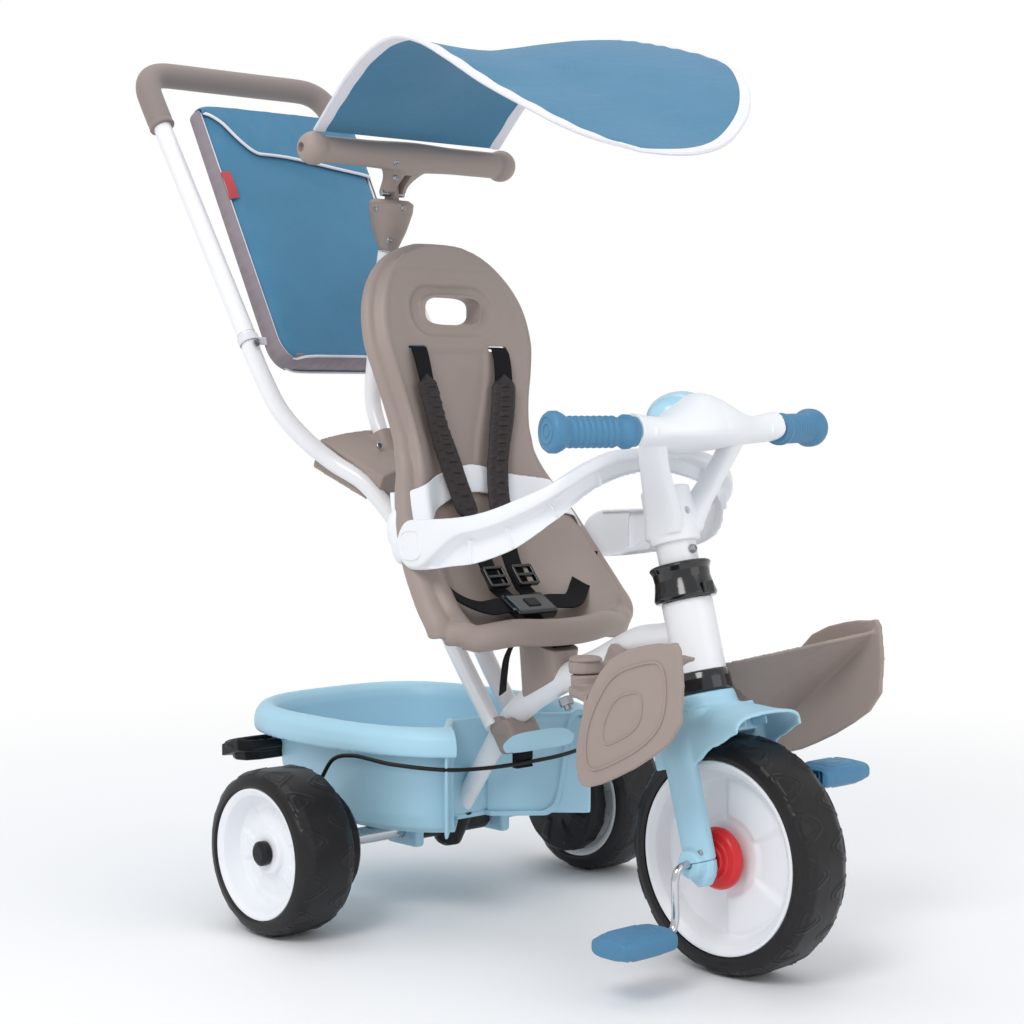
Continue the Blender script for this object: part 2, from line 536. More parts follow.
def make_wheels():
    h = REAR_W / 2
    rt = tyre(REAR_R, REAR_W, 72.2, REAR_X, REAR_Y, 12, 420)
    rp = fillet([[9.9, -20], [30, -22], [56, -24], [64, -h + 5], [69.0, -h + 2.4], [71.6, -h + 2.4], [71.6, h - 2.4], [69.0, h - 2.4], [63.5, h - 6], [58, 13], [48, 10.5], [30, 13.5], [25, 16], [23, 21.5], [9.9, 21.5], [9.9, -20]], 2.2, 5)
    rr = wheel_disc(dense(rp, 1.8, 28, 60), V(REAR_X, REAR_Y, REAR_R), 200, 5, 29, 59, 2.6, 0.55)
    cap = lathe(fillet([[0, 22.5], [0, 33], [9, 32.6], [13.4, 29.5], [13.4, 21.9], [9.9, 21.9], [9.9, 22.5], [0, 22.5]], 1.4, 5)[0:], V(REAR_X, REAR_Y, REAR_R), AX, 64)
    ring = lathe(fillet([[3.2, 32.6], [3.2, 31.5], [6.2, 31.5], [6.2, 33.3], [4.6, 33.6], [3.2, 32.6]], 0.5), V(REAR_X, REAR_Y, REAR_R), AX, 48)
    for side, f in (("left", lambda p: p), ("right", mirror)):
        b = "rear_wheel_" + side
        piece("tyre_rear_" + side, f(rt), M["tyre"], b, ["rear_tyre_" + side], sharp=60)
        piece("rim_rear_" + side, f(rr), M["white"], b, ["rear_rim_" + side], sharp=30)
        piece("hub_cap_" + side, [f(cap)], M["matt"], b, ["rear_hub_cap_" + side])
    piece("tyre_front", tyre(FRONT_R, FRONT_W, 99.4, 0, FRONT_Y, 16, 560), M["tyre"], "front_wheel", ["front_tyre"], sharp=60)
    h = FRONT_W / 2
    fp = fillet([[16.4, -14], [34, -14], [80, -12], [88, -h + 8], [94.5, -h + 3], [98.6, -h + 2.6], [98.6, h - 2.6], [94.5, h - 3], [88, h - 8], [80, 12], [34, 14], [16.4, 14], [16.4, -14]], 2.6, 5)
    piece("rim_front", wheel_disc(dense(fp, 1.8, 34, 84), V(0, FRONT_Y, FRONT_R), 260, 3, 36, 82, 4.2, 0.6), M["white"], "front_wheel", ["front_rim"], sharp=30)
    hub = [[4.3, -42], [14, -42], [15, -40], [20, -39.4], [21, -37.6], [27, -36.6], [29, -35], [31.5, -31], [31.5, -27], [17, -14.8], [16, -14.4], [16, 14.4], [17, 14.8], [31.5, 27], [31.5, 31], [29, 35], [27, 36.6], [21, 37.6], [20, 39.4], [15, 40], [14, 42], [4.3, 42], [4.3, -42]]
    piece("hub_front", lathe(fillet(hub, 1.0, 4), V(0, FRONT_Y, FRONT_R), AX, 96), M["red"], "front_wheel", ["front_hub"], sharp=30)

make_wheels()

# ------------------------------------------------------------------ crank and pedals
def crank_pts():
    ax, out, rr, pts = 92, PEDAL_X + 34, 12, []
    def side(sx, dz):
        z0, z1, k = FRONT_R, FRONT_R + dz, sgn(dz)
        return [V(0, FRONT_Y, z0), V(sx * (ax - rr - 20), FRONT_Y, z0), V(sx * (ax - rr), FRONT_Y, z0), V(sx * (ax - rr * 0.3), FRONT_Y, z0 + k * rr * 0.3),
                V(sx * ax, FRONT_Y, z0 + k * rr), V(sx * ax, FRONT_Y, z0 + k * CRANK_R / 2), V(sx * ax, FRONT_Y, z1 - k * rr), V(sx * (ax + rr * 0.3), FRONT_Y, z1 - k * rr * 0.3),
                V(sx * (ax + rr), FRONT_Y, z1), V(sx * (ax + rr + 20), FRONT_Y, z1), V(sx * out, FRONT_Y, z1)]
    return side(-1, -CRANK_R)[::-1] + side(1, CRANK_R)[1:]

piece("crank", tube(CR(crank_pts()).run(260), ROD, 24, rounded=2), M["chrome"], "crank", ["crankshaft"])

def pedal(x, z):
    sx, L, D, T = sgn(x), 74.0, 53.0, 24.0
    def ring(t, a):
        k = abs(t - 0.5) * 2; sc = 1 - 0.08 * k ** 3
        end = math.sqrt(max(0.03, 1 - max(0, (k - 0.94) / 0.06) ** 2))
        yy, zz = superxy(a, (D / 2) * (lerp(1, 0.93, sm((t - 0.7) / 0.25))) * sc * lerp(0.88, 1, end), (T / 2) * lerp(1, 0.86, sm((t - 0.8) / 0.18)) * sc * lerp(0.75, 1, end), 3.2)
        # tread: raised ovals and ribs, kept plain
        if abs(zz) > T / 2 * 0.80 and 0.16 < t < 0.84:
            u, v = (t - 0.5) * L, yy
            e = max(math.exp(-((abs(v) - 17) / 1.5) ** 2) * (abs(u) < 20), math.exp(-((math.hypot(u / 1.5, v) - 9.5) / 1.3) ** 2), math.exp(-((abs(u) - 23) / 1.4) ** 2) * (abs(v) < 15))
            zz += sgn(zz) * 0.9 * e
        return V(x - sx * L / 2 + sx * L * t, FRONT_Y + yy, z + zz)
    body = loft(96, 90, ring)
    return body

def make_pedals():
    for nm, x, z in (("right", -PEDAL_X, FRONT_R - CRANK_R), ("left", PEDAL_X, FRONT_R + CRANK_R)):
        sx = sgn(x)
        pocket = rbox(V(x - sx * 33, FRONT_Y, z), [20, 36, 15], 3)
        ob = link("pedal_block_" + nm, to_mesh("p", pedal(x, z), None)); ob.data.materials.append(M["mid"])
        co = link("cut", to_mesh("c", pocket, None))
        m = ob.modifiers.new("b", "BOOLEAN"); m.operation = "DIFFERENCE"; m.object = co; m.solver = "EXACT"
        bake(ob, 40); bpy.data.objects.remove(co)
        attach(ob, "pedal_" + nm + "_body"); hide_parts("pedal_" + nm)
        web = [rbox(V(x - sx * 27, FRONT_Y + o, z), [10, 1.6, 15.4], 0.6) for o in (-9, 9)]
        piece("pedal_ribs_" + nm, web, M["mid"], "pedal_" + nm + "_body")

make_pedals()

# ------------------------------------------------------------------ fork, stem, collars, handlebar
def make_fork():
    def leg(g=0):
        def ring(t, a):
            s = lerp(1.5, 150, t); up = sm((s - 92) / 58)
            x, b = superxy(a, lerp(10.5, 14, up) + g, lerp(18.5, 30, up) + g, 2.6)
            return st(lerp(55, 34, up ** 1.5) + x, b + lerp(0, 2, up), s)
        return loft(48, 60, ring)
    collar = cyl(st(0, 0, 128), st(0, 0, 165.4), 36, 29.5, 64, 2)
    shoulder = cyl(st(0, 0, 120), st(0, 0, 150), 46, 38, 64, 2)
    def guard(u, v, w):
        a = (u - 0.5) * math.pi; f = lerp(-34, 76, v); e = 1 - w
        hw = lerp(58, 50, sm((v - 0.4) / 0.6)) - e * 4
        top = lerp(150, 134, sm((v - 0.25) / 0.75)) + 6 * math.sin(v * math.pi) - e * 4
        low = ramp([[0, 96], [0.5, 96], [0.72, 108], [1, 116]], v, True); ca = max(0, math.cos(a))
        return st(hw * sgn(math.sin(a)) * abs(math.sin(a)) ** 0.75, -f - 6 * ca * v, low + (top - low) * ca ** 0.6)
    # ribs under the visor
    ribs = []
    for q in (-16, 16):
        ribs.append(rbox(st(q, -50, 127), [2.4, 20, 8], 0.8, rot("x", -TILT), n=6))
    boss = cyl(V(52, FRONT_Y, FRONT_R), V(74, FRONT_Y, FRONT_R), 17, 14, 56, 1.5)
    L = leg()
    room = cyl(V(-41, FRONT_Y, FRONT_R), V(41, FRONT_Y, FRONT_R), FRONT_R + 4.5, FRONT_R + 4.5, 160, 0.3)
    under = rbox(st(0, 0, -61), [220, 220, 123.4], 0.2, rot("x", -TILT), n=4)
    bore = cyl(st(0, 0, 100), st(0, 0, 190), 21.6, 21.6, 64, 0.2)
    fused("fork_body", [collar, shoulder, slab(60, 44, guard), L, mirror(L), boss, mirror(boss)], M["light"], "steering", ["fork"],
          voxel=1.5, smooth=7, cuts=[room, under, bore], sharp=34)
    piece("fork_ribs", ribs, M["light"], "steering")
    for side in ("left", "right"):
        soften("fork_cap_" + side, M["light"], 1.2, 6)
    # seam line hardware on each leg
    s = -1
    pins = []
    for sx in (-1, 1):
        pins.append(screw(V(sx * 66.2, *st(0, 12, 9)[1:]), V(sx, 0, 0), 3.0))
        pins.append(screw(V(sx * 66.2, *st(0, -12, 9)[1:]), V(sx, 0, 0), 3.0))
    piece("fork_screws", pins, M["screw"], "steering")
    piece("stem", cyl(st(0, 0, 133), st(0, 0, 378), 21, 21, 72, 1), M["tube"], "steering", ["steering_stem"])

make_fork()

def make_collars():
    lo = fillet([[21.6, 165.9], [28.5, 165.9], [29.8, 168], [29.2, 180], [27.6, 186.7], [21.6, 186.7], [21.6, 165.9]], 1.6, 5)
    piece("collar_lower", lathe(lo, FA, UP, 96), M["gloss"], "frame", ["lower_headset_collar"])
    up = fillet([[21.6, 262.5], [31.5, 262.5], [33.0, 266], [30.6, 276], [29.2, 284], [29.8, 292], [32.6, 298], [30, 300.4], [21.6, 300.4], [21.6, 262.5]], 2.2, 6)
    def notch(r, y, t):
        # a scoop in the lower front edge shows the tube behind it
        return r, y
    piece("collar_upper", lathe(up, FA, UP, 120, notch), M["gloss"], "frame", ["upper_headset_collar"])
    nub = [rbox(st(0, -33.2, 270), [15, 3.5, 13], 1.4, rot("x", -TILT), n=8)]
    piece("collar_nub", nub, M["gloss"], "frame")

make_collars()

MAIN = [V(0, -118, 337), V(0, -93, 332), V(0, -59, 326), V(0, 1, 298), V(0, 55, 275), V(0, 119, 239), V(0, 160, 200), V(0, 198, 150), V(0, 226, 111), V(0, 238, 94)]
LEG = unit(V(0, HTY - 445, HTZ - 656)); JOINT = V(HX, 445, 656)
STAY = [V(*p) for p in ((18.5, 150, 214), (19, 209, 289), (24, 270, 380), (30, 300, 431), (37, 314, 453), (52, 340, 484), (72, 372, 507), (96, 396, 535), (117, 414, 568), (131, 427, 606), (138.5, 436.5, 634))]
tip = lambda L: JOINT + LEG * L

def make_frame():
    mr = [[0, 15], [0.58, 15], [0.80, 11.6], [1, 11]]
    main = tube(CR(MAIN).run(140), lambda t: ramp(mr, t, True), 40)
    head = lathe(fillet([[21.7, 187.4], [26.5, 187.4], [26.5, 261.9], [21.7, 261.9], [21.7, 187.4]], 1.2, 4), FA, UP, 96)
    bead = tube([st(0, 0, 225) + V(0, 0, 0) + (V(17 * math.cos(a), 21.5 + 2.0 * math.sin(a) ** 2, 17.5 * math.sin(a) + 4)) for a in np.linspace(0, 2 * math.pi, 49)], 2.2, 10)
    piece("frame_main_tube", [main, head], M["tube"], "frame", ["main_frame"])
    stay = [tube(CR(STAY + [tip(-6), tip(-0.4)]).run(150), 10.5, 36)]
    spig = [cyl(tip(-4), tip(60), 8, 8, 36, 1)]
    lock = [cyl(tip(-16) + V(0, -10, 3) , tip(-16) + V(0, -12.4, 3.6), 4.4, 4.0, 28, 0.6)]
    for side, f in (("left", lambda p: p), ("right", mirror)):
        piece("stay_" + side, [f(p) for p in stay + spig], M["tube"], "frame", ["rear_stay_" + side])
        piece("stay_button_" + side, [f(p) for p in lock], M["screw"], "frame")
    post = [V(0, y, z) for y, z in ((346, 500), (361, 526), (375, 549), (385, 579), (380, 640), (371, 690), (365, 728), (359, 755))]
    piece("canopy_post_tube", tube(CR(post).run(120), 9.5, 36), M["tube"], "frame", ["canopy_post"])
    piece("axle_rod", cyl(V(-262, REAR_Y, REAR_R), V(262, REAR_Y, REAR_R), 9.5, 9.5, 64, 1.2), M["chrome"], "frame", ["rear_axle"])
    soften("axle_socket", M["matt"], 1.2, 10)
    def block(t, a):
        y, z0, z1 = 0, 0, 0
        x, yy = superxy(a, lerp(17, 25, t), 31, 4.0)
        yc = 81 + yy; ztop = lerp(306, 322, (yc - 50) / 62)
        return V(x, yc, lerp(262 - (yc - 81) * 0.5, ztop, t))
    fused("seat_block", [loft(20, 64, block)], M["taupe"], "frame", ["seat_mount"], voxel=1.2, smooth=4)
    soften("push_bar_bracket", M["taupe"], 1.4, 9)
    soften("basket_latch", M["taupe"], 1.2, 8)
    soften("footrest_crossbar", M["taupe"], 1.4, 10)
    hexa = lathe([[0, 0], [7.6, 0], [8.4, 1.0], [8.4, 8], [7.6, 9.4], [0, 9.4]], V(0, 55.2, 254.0), V(0, -5, -9.8), 6)
    end = cyl(V(0, 51, 246), V(0, 48.4, 241.2), 4.6, 4.2, 24, 0.8)
    piece("nut_under_seat", [hexa, end], M["screw"], "frame", ["seat_bolt"], sharp=25)
    piece("bracket_screws", [screw(V(-26, 341, 526), V(-0.25, -0.85, 0.45), 4.0), screw(V(26, 341, 526), V(0.25, -0.85, 0.45), 4.0)], M["screw"], "frame")

make_frame()

# ------------------------------------------------------------------ seat
SEAT = [(0.00, 259, 757, 22, 0), (0.05, 255, 745, 68, 0), (0.12, 249, 722, 96, 1), (0.22, 241, 690, 113, 3), (0.34, 233, 650, 121, 5), (0.42, 228, 618, 115, 7),
        (0.50, 224, 578, 104, 10), (0.58, 220, 540, 97, 15), (0.66, 214, 505, 99, 22), (0.72, 206, 470, 112, 30), (0.78, 193, 430, 126, 40),
        (0.83, 174, 388, 136, 46), (0.88, 147, 354, 142, 45), (0.92, 117, 331, 145, 37), (0.96, 80, 319, 142, 24), (1.00, 42, 318, 128, 8)]
SC = CR([V(0, r[1], r[2]) for r in SEAT]); SW = CR([V(r[3], r[4], i * 10) for i, r in enumerate(SEAT)]); ST = [r[0] for r in SEAT]
_rows = {}

def seat_row(v):
    key = round(v, 5)
    if key not in _rows:
        i = 1
        while i < len(ST) - 1 and v > ST[i]: i += 1
        k = cl((v - ST[i - 1]) / (ST[i] - ST[i - 1])); j = (i - 1 + k) / (len(ST) - 1)
        p = SC.get(j); e = 2e-3; d = unit(SC.get(min(1, j + e)) - SC.get(max(0, j - e)))
        n = V(0, d[2], -d[1])
        if n[1] > 0: n = -n
        w = SW.get(j)
        ww = w[0]
        if p[2] > 650:     # the top of the back is one smooth arc
            ww = max(10.0, 121 * max(0.0, 1 - ((p[2] - 650) / 108) ** 2.3) ** 0.476)
        _rows[key] = (p, n, ww, w[1])
    return _rows[key]

def seat_point(u, v, off):
    p, n, w, rise = seat_row(v); q = (u - 0.5) * 2; k = abs(q)
    up = rise * sm((k - 0.45) / 0.45) - 14 * sm((k - 0.86) / 0.14) * (1 if v < 0.62 else 1.15)
    e = sm((v - 0.92) / 0.08) * q * q
    return V(w * q * (1 - 0.02 * sm((k - 0.9) / 0.1)), p[1] + 50 * e, p[2] + 12 * e) + n * (up + off)

def seat_relief(u, v):
    """Moulded relief of the back: a rounded border, a sunk panel and a shallow V channel."""
    q = abs(u - 0.5) * 2; r = 0.0
    if v < 0.68:
        edge = sm((q - 0.80) / 0.08) if v > 0.1 else 1.0
        r += 2.2 * edge * sm((0.70 - v) / 0.1)
        x = q * seat_row(v)[2]; z = seat_row(v)[0][2]
        # V shaped hollow between the belts
        if 500 < z < 640:
            half = lerp(16, 46, sm((z - 500) / 140) ** 0.8); r -= 2.4 * sm((half - x) / 5) * sm((z - 500) / 14) * sm((640 - z) / 10)
        # stadium round the grab hole
        d = math.hypot(max(0, x - 34), z - 681)
        r -= 3.6 * sm((30 - d) / 4.0)
        r += 1.0 * math.exp(-((d - 33) / 2.2) ** 2)
    return r

def make_seat():
    def skin(u, v, w):
        if w: return seat_point(u, v, seat_relief(u, v))
        return seat_point(u, v, -5.0 + 0.4 * seat_relief(u, v))
    body = slab(90, 170, skin)
    # rolled rim all round
    rim = []
    side = lambda q, v, o: seat_point(0.5 + q / 2 * 0.985, v, o)
    vs = [0.965 * (1 - t) ** 1.6 for t in np.linspace(0, 0.97, 46)]
    left = [side(-1, v, lerp(-5.5, -3.5, sm((0.9 - v) / 0.3))) for v in vs]
    right = [side(1, v, lerp(-5.5, -3.5, sm((0.9 - v) / 0.3))) for v in vs[::-1]]
    loop = left + right
    lp = CR(loop)
    def rad(t):
        k = min(t, 1 - t) * 2
        return lerp(13.5, 8.2, sm((k - 0.20) / 0.35))
    rim.append(tube(lp.run(260), rad, 20, rounded=4))
    lip = [seat_point(0.5 + q / 2 * 0.96, 0.992, -9.0) for q in np.linspace(-1, 1, 41)]
    lip = [seat_point(0.5 - 0.4875, 0.955, -5.5)] + lip + [seat_point(0.5 + 0.4875, 0.955, -5.5)]
    roll = tube(CR(lip[::2]).run(90), lambda t: lerp(13.4, 15.0, sm(min(t, 1 - t) * 5)), 28, rounded=6)
    # hip walls under the rim give the bucket its depth
    def apron(u, v, w):
        q = (u - 0.5) * 2; t = 0.985
        p = seat_point(0.5 + q / 2 * 0.985, lerp(1.0, 0.995, v), -10)
        return p + V(0, 3 + w * 3.0, -v * 16)
    def stadium(g, y0, y1):
        def ring(t, a):
            x, z = superxy(a, 42 + g, 16 + g, 3.4); return V(x, lerp(y0, y1, t), 681 + z)
        return loft(72, 8, ring)
    hole = [stadium(0, 150, 330)]
    tunnel = stadium(3.4, 238, 263)
    slot = rbox(V(61, 224, 638), [27, 70, 6.4], 2.4, n=8)
    tubes = cyl(V(0, -60, 330), V(0, 70, 270), 15.6, 15.6, 48, 0.2)
    mt = tube(CR(MAIN).run(80), 15.6, 40)
    fused("seat_bucket", [body, rim[0], roll, tunnel], M["taupe"], "frame", ["seat_shell"], voxel=1.7, smooth=5, cuts=[hole[0], slot, mirror(slot), mt], sharp=40)
    # waist saddle
    def sad(u, v, w):
        q = (u - 0.5) * 2.2; k = min(1.0, abs(q)); over = max(0, abs(q) - 1) / 0.1
        t = lerp(lerp(0.66, 0.715, k ** 1.6), lerp(0.715, 0.80, k ** 1.8), v)
        p = seat_point(0.5 + sgn(q) * k / 2, t, 2.2 + (3.2 if w else 0) + (0.6 * math.sin(math.pi * v) if w else 0))
        p[0] += sgn(q) * (((6.4 if w else 2.2) * sm((k - 0.9) / 0.1)) if k > 0.9 else 0); p[1] += 26 * over
        return p
    def lugm(c, rx, ry, rz): return ball(c, rx, ry, rz, 40)
    lug = [ball(V(124, 182, 424), 10, 16, 25), ball(V(121, 193, 438), 12, 14, 23)]
    fused("saddle_strip", [slab(130, 26, sad)] + lug + [mirror(l) for l in lug], M["white"], "frame", ["waist_saddle"], voxel=1.3, smooth=5)

make_seat()

# ------------------------------------------------------------------ guard ring
ARM = CR([V(*p) for p in ((140, 166, 423), (150, 124, 425), (160, 72, 430), (165, 18, 437), (158, -24, 450), (143, -52, 466), (120, -72, 485), (90, -79, 502), (50, -79, 513), (1.0, -79, 517))])

def arm_frame(u):
    p, d = ARM.at(u), ARM.tan(u); out = unit(V(-d[1], d[0], 0))
    if u < 0.5 and out[0] < 0: out = -out
    if u >= 0.5 and out[1] > 0: out = -out
    return p, d, out

def make_guard():
    hh = [[0, 26], [0.1, 27], [0.3, 25], [0.5, 24], [0.65, 20], [0.8, 16], [1, 12]]
    def band(u, v, w):
        p, d, out = arm_frame(u); h = ramp(hh, u, True); q = (v - 0.5) * 2
        e = 1.0
        if u < 0.07: e = math.sqrt(max(0.05, 1 - (1 - u / 0.07) ** 2))
        # a broad smooth strip along the top, and below it a channel set back behind the strip
        edge = lerp(-1.15, 0.02, sm((u - 0.10) / 0.26)); s = sm((q - edge) / 0.32)
        mid = (q + 1) / 2 if edge < -1 else cl((q - edge) / (1 - edge)); crown = 2.4 * math.sin(math.pi * cl(mid))
        face = lerp(-8.5 + 5.0 * sm((-0.86 - q) / 0.1), 3.4 + crown, s)
        return p + V(0, 0, q * h * lerp(0.10, 1, e)) + out * (face if w else face - lerp(4.0, 6.0, 4 * s * (1 - s)))
    def lip(u, v, w):
        p, d, out = arm_frame(u); h = ramp(hh, u, True)
        uu = 0.07 + 0.93 * u; p, d, out = arm_frame(uu); h = ramp(hh, uu, True); return p + V(0, 0, h - 0.2 + (0.5 if w else -2.6)) + out * (-6.5 + v * 10.0)
    def paddle(u, v, w):
        uu = lerp(0.0, 0.17, u); p, d, out = arm_frame(uu); q = (v - 0.5) * 2; h = ramp(hh, uu, True)
        edge = (1 - max(abs(q), abs(2 * u - 1) ** 2) ** 6)
        ee = math.sqrt(max(0.05, 1 - (1 - min(1, uu / 0.07)) ** 2)); return p + V(0, 0, q * h * 0.985 * lerp(0.10, 1, ee)) + out * (-3.0 + (w * 8.6) * (0.25 + 0.75 * edge) * sm((1 - u) / 0.35))
    ribs = []
    for uu in (0.36, 0.50, 0.64, 0.80):
        p, d, out = arm_frame(uu); h = ramp(hh, uu, True)
        R = np.array([d, out, np.cross(d, out)]).T
        ribs.append(rbox(p + out * -4.5 + V(0, 0, -h * 0.45), [1.8, 8, h * 0.95], 0.6, R, n=6))
    emb = []
    loopp = []
    for a in np.linspace(0, 2 * math.pi, 60, endpoint=False):
        x, z = superxy(a, 0.058, 15.5, 3.2); uu = 0.088 + x
        p, d, out = arm_frame(uu); loopp.append(p + V(0, 0, z) + out * 5.6)
    loopp.append(loopp[0])
    emb.append(tube(loopp, 0.9, 8))
    parts = [slab(150, 40, band), slab(120, 6, lip), slab(40, 22, paddle)] + ribs
    for side, f in (("left", lambda p: p), ("right", mirror)):
        fused("guard_ring_" + side, [f(p) for p in parts], M["white"], "guard_" + side, ["guard_arm_" + side], voxel=1.3, smooth=4)
        piece("guard_outline_" + side, [f(e) for e in emb], M["white"], "guard_" + side)

make_guard()

# ------------------------------------------------------------------ handlebar, yoke, dome
E0, E1 = V(-112, -151, 548), V(-200, -125.4, 548.4)

def make_bar():
    # dashboard
    def ring(t, a):
        x = (t - 0.5) * 214; k = abs(x) / 107; hump = math.exp(-(x / 42) ** 2); wing = sm((k - 0.55) / 0.45)
        rb = lerp(40, 17, sm(k / 0.95)) + 4 * hump; rs = 15.5 + 20 * hump + 3 * wing
        cb = lerp(-58, -71, k); cs = 424 + 6 * hump - 3 * math.sin(k * math.pi)
        b, s = superxy(a, rb, rs, 2.3)
        if s < 0: s *= 0.62
        b2, s2 = b, s
        if b < 0: s2 -= 8 * hump * (b / rb) ** 2
        # parting groove along the front face
        g = math.exp(-((math.degrees(a) % 360 - 196) / 5) ** 2)
        return st(x, cb + b2 * (1 - 0.012 * g), cs + s2 * (1 - 0.012 * g))
    dash = loft(110, 90, ring)
    tongue = tube([st(0, -92, 440), st(0, -101, 427), st(0, -104, 414), st(0, -100, 402)], lambda t: lerp(11, 6.5, t), 24, rounded=6)
    fused("dash_shell", [dash], M["white"], "steering", ["dash_cover"], voxel=1.2, smooth=3)
    # dome: a horn button with a flat stem
    def dome(rr, y, t):
        return rr, y
    D = []
    for k in range(41):
        ph = math.pi * k / 40
        D.append(ph)
    c = st(0, -40, 448)
    def dr(t, a):
        ph = -0.19 + (math.pi / 2 + 0.19) * t
        r = math.cos(ph); h = math.sin(ph)
        return c + AX * (37 * r * math.cos(a)) + (np.array(st(0, 1, 0)) - np.array(st(0, 0, 0))) * (31 * r * math.sin(a)) + UP * (25 * h)
    stem = cyl(st(0, -40, 424), st(0, -40, 446), 14, 14, 48, 0.6)
    piece("horn_cap", [loft(40, 96, dr), stem], M["dome"], "horn", ["horn_dome"])
    # grips
    d = unit(E1 - E0); L = float(np.linalg.norm(E1 - E0))
    prof = [[0, -6], [15, -6], [15.4, 0], [17, 1.4], [17.2, 7], [14.8, 11], [13.8, 13], [14.6, 16]]
    y = 18.0
    while y < L - 26:
        prof += [[15.3, y], [15.9, y + 1.3], [15.9, y + 2.6], [15.2, y + 3.6], [14.7, y + 4.4], [14.7, y + 5.2]]; y += 6.6
    prof += [[15.4, L - 20], [18.6, L - 15], [20.8, L - 10], [20.6, L - 4], [18.2, L - 0.4], [15.0, L], [14.4, L - 0.9], [12.0, L - 0.9], [11.4, L], [8.0, L], [7.4, L - 0.9], [5, L - 0.9], [4.4, L], [0, L]]
    g = lathe(prof, E0, d, 72)
    for nm, f in (("right", lambda p: p), ("left", mirror)):
        piece("grip_" + nm, f(g), M["mid"], "steering", ["handlebar_grip_" + nm], sharp=50)
    # yoke
    collar = lathe(fillet([[21.2, 322], [24.5, 322], [26.5, 330], [27, 364], [24, 382], [0, 386]] + [[0, 379], [21.2, 379], [21.2, 322]], 1.5, 4), FA, UP, 72)
    def leg(t, a):
        s = lerp(330, 426, t); cx = lerp(15, 62, sm(0.9 * t + 0.05)); cb = lerp(0, -58, t ** 1.1); rb = lerp(24, 16, sm(1.3 * t))
        x, b = superxy(a, 11, rb, 2.6)
        return st(cx + x, cb + b, s)
    lg = loft(60, 48, leg)
    tipr = E0 + d * 82
    bar = tube(CR([st(60, -66, 423), st(30, -61, 424), st(0, -60, 424)] ).run(20), 9, 24)
    arm = tube([E0 * V(1, 1, 1) - d * 30, E0, E0 + d * 3], 9, 24)
    hole = cyl(st(0, -50, 352), st(0, -18, 352), 4.2, 4.2, 24, 0.2)
    col = cyl(st(0, 0, 322), st(0, 0, 380), 26.5, 25.5, 64, 1)
    bore = cyl(st(0, 0, 300), st(0, 0, 375), 21.2, 21.2, 64, 0.2)
    cross = tube([st(-60, -66, 423), st(0, -60, 424), st(60, -66, 423)], 9, 24)
    fused("yoke_body", [collar if False else col, lg, mirror(lg), cross, arm, mirror(arm)], M["white"], "steering", ["handlebar_yoke"], voxel=1.3, smooth=6, cuts=[hole, bore])
    ring = tube([st(9 * math.cos(a), -27.2, 352 + 9 * math.sin(a)) for a in np.linspace(0, 2 * math.pi, 33)], 0.9, 8)
    bolt = [cyl(st(0, -21, 312), st(0, -25, 312), 5.0, 4.4, 32, 0.8), screw(st(0, -25, 312), unit(np.array(st(0, -1, 0)) - np.array(st(0, 0, 0))), 3.4)]
    piece("stem_bolt_head", bolt, M["screw"], "steering", ["stem_bolt"])

make_bar()

# ------------------------------------------------------------------ basket
BX, BY, BC = 150.0, 178.0, 292.0

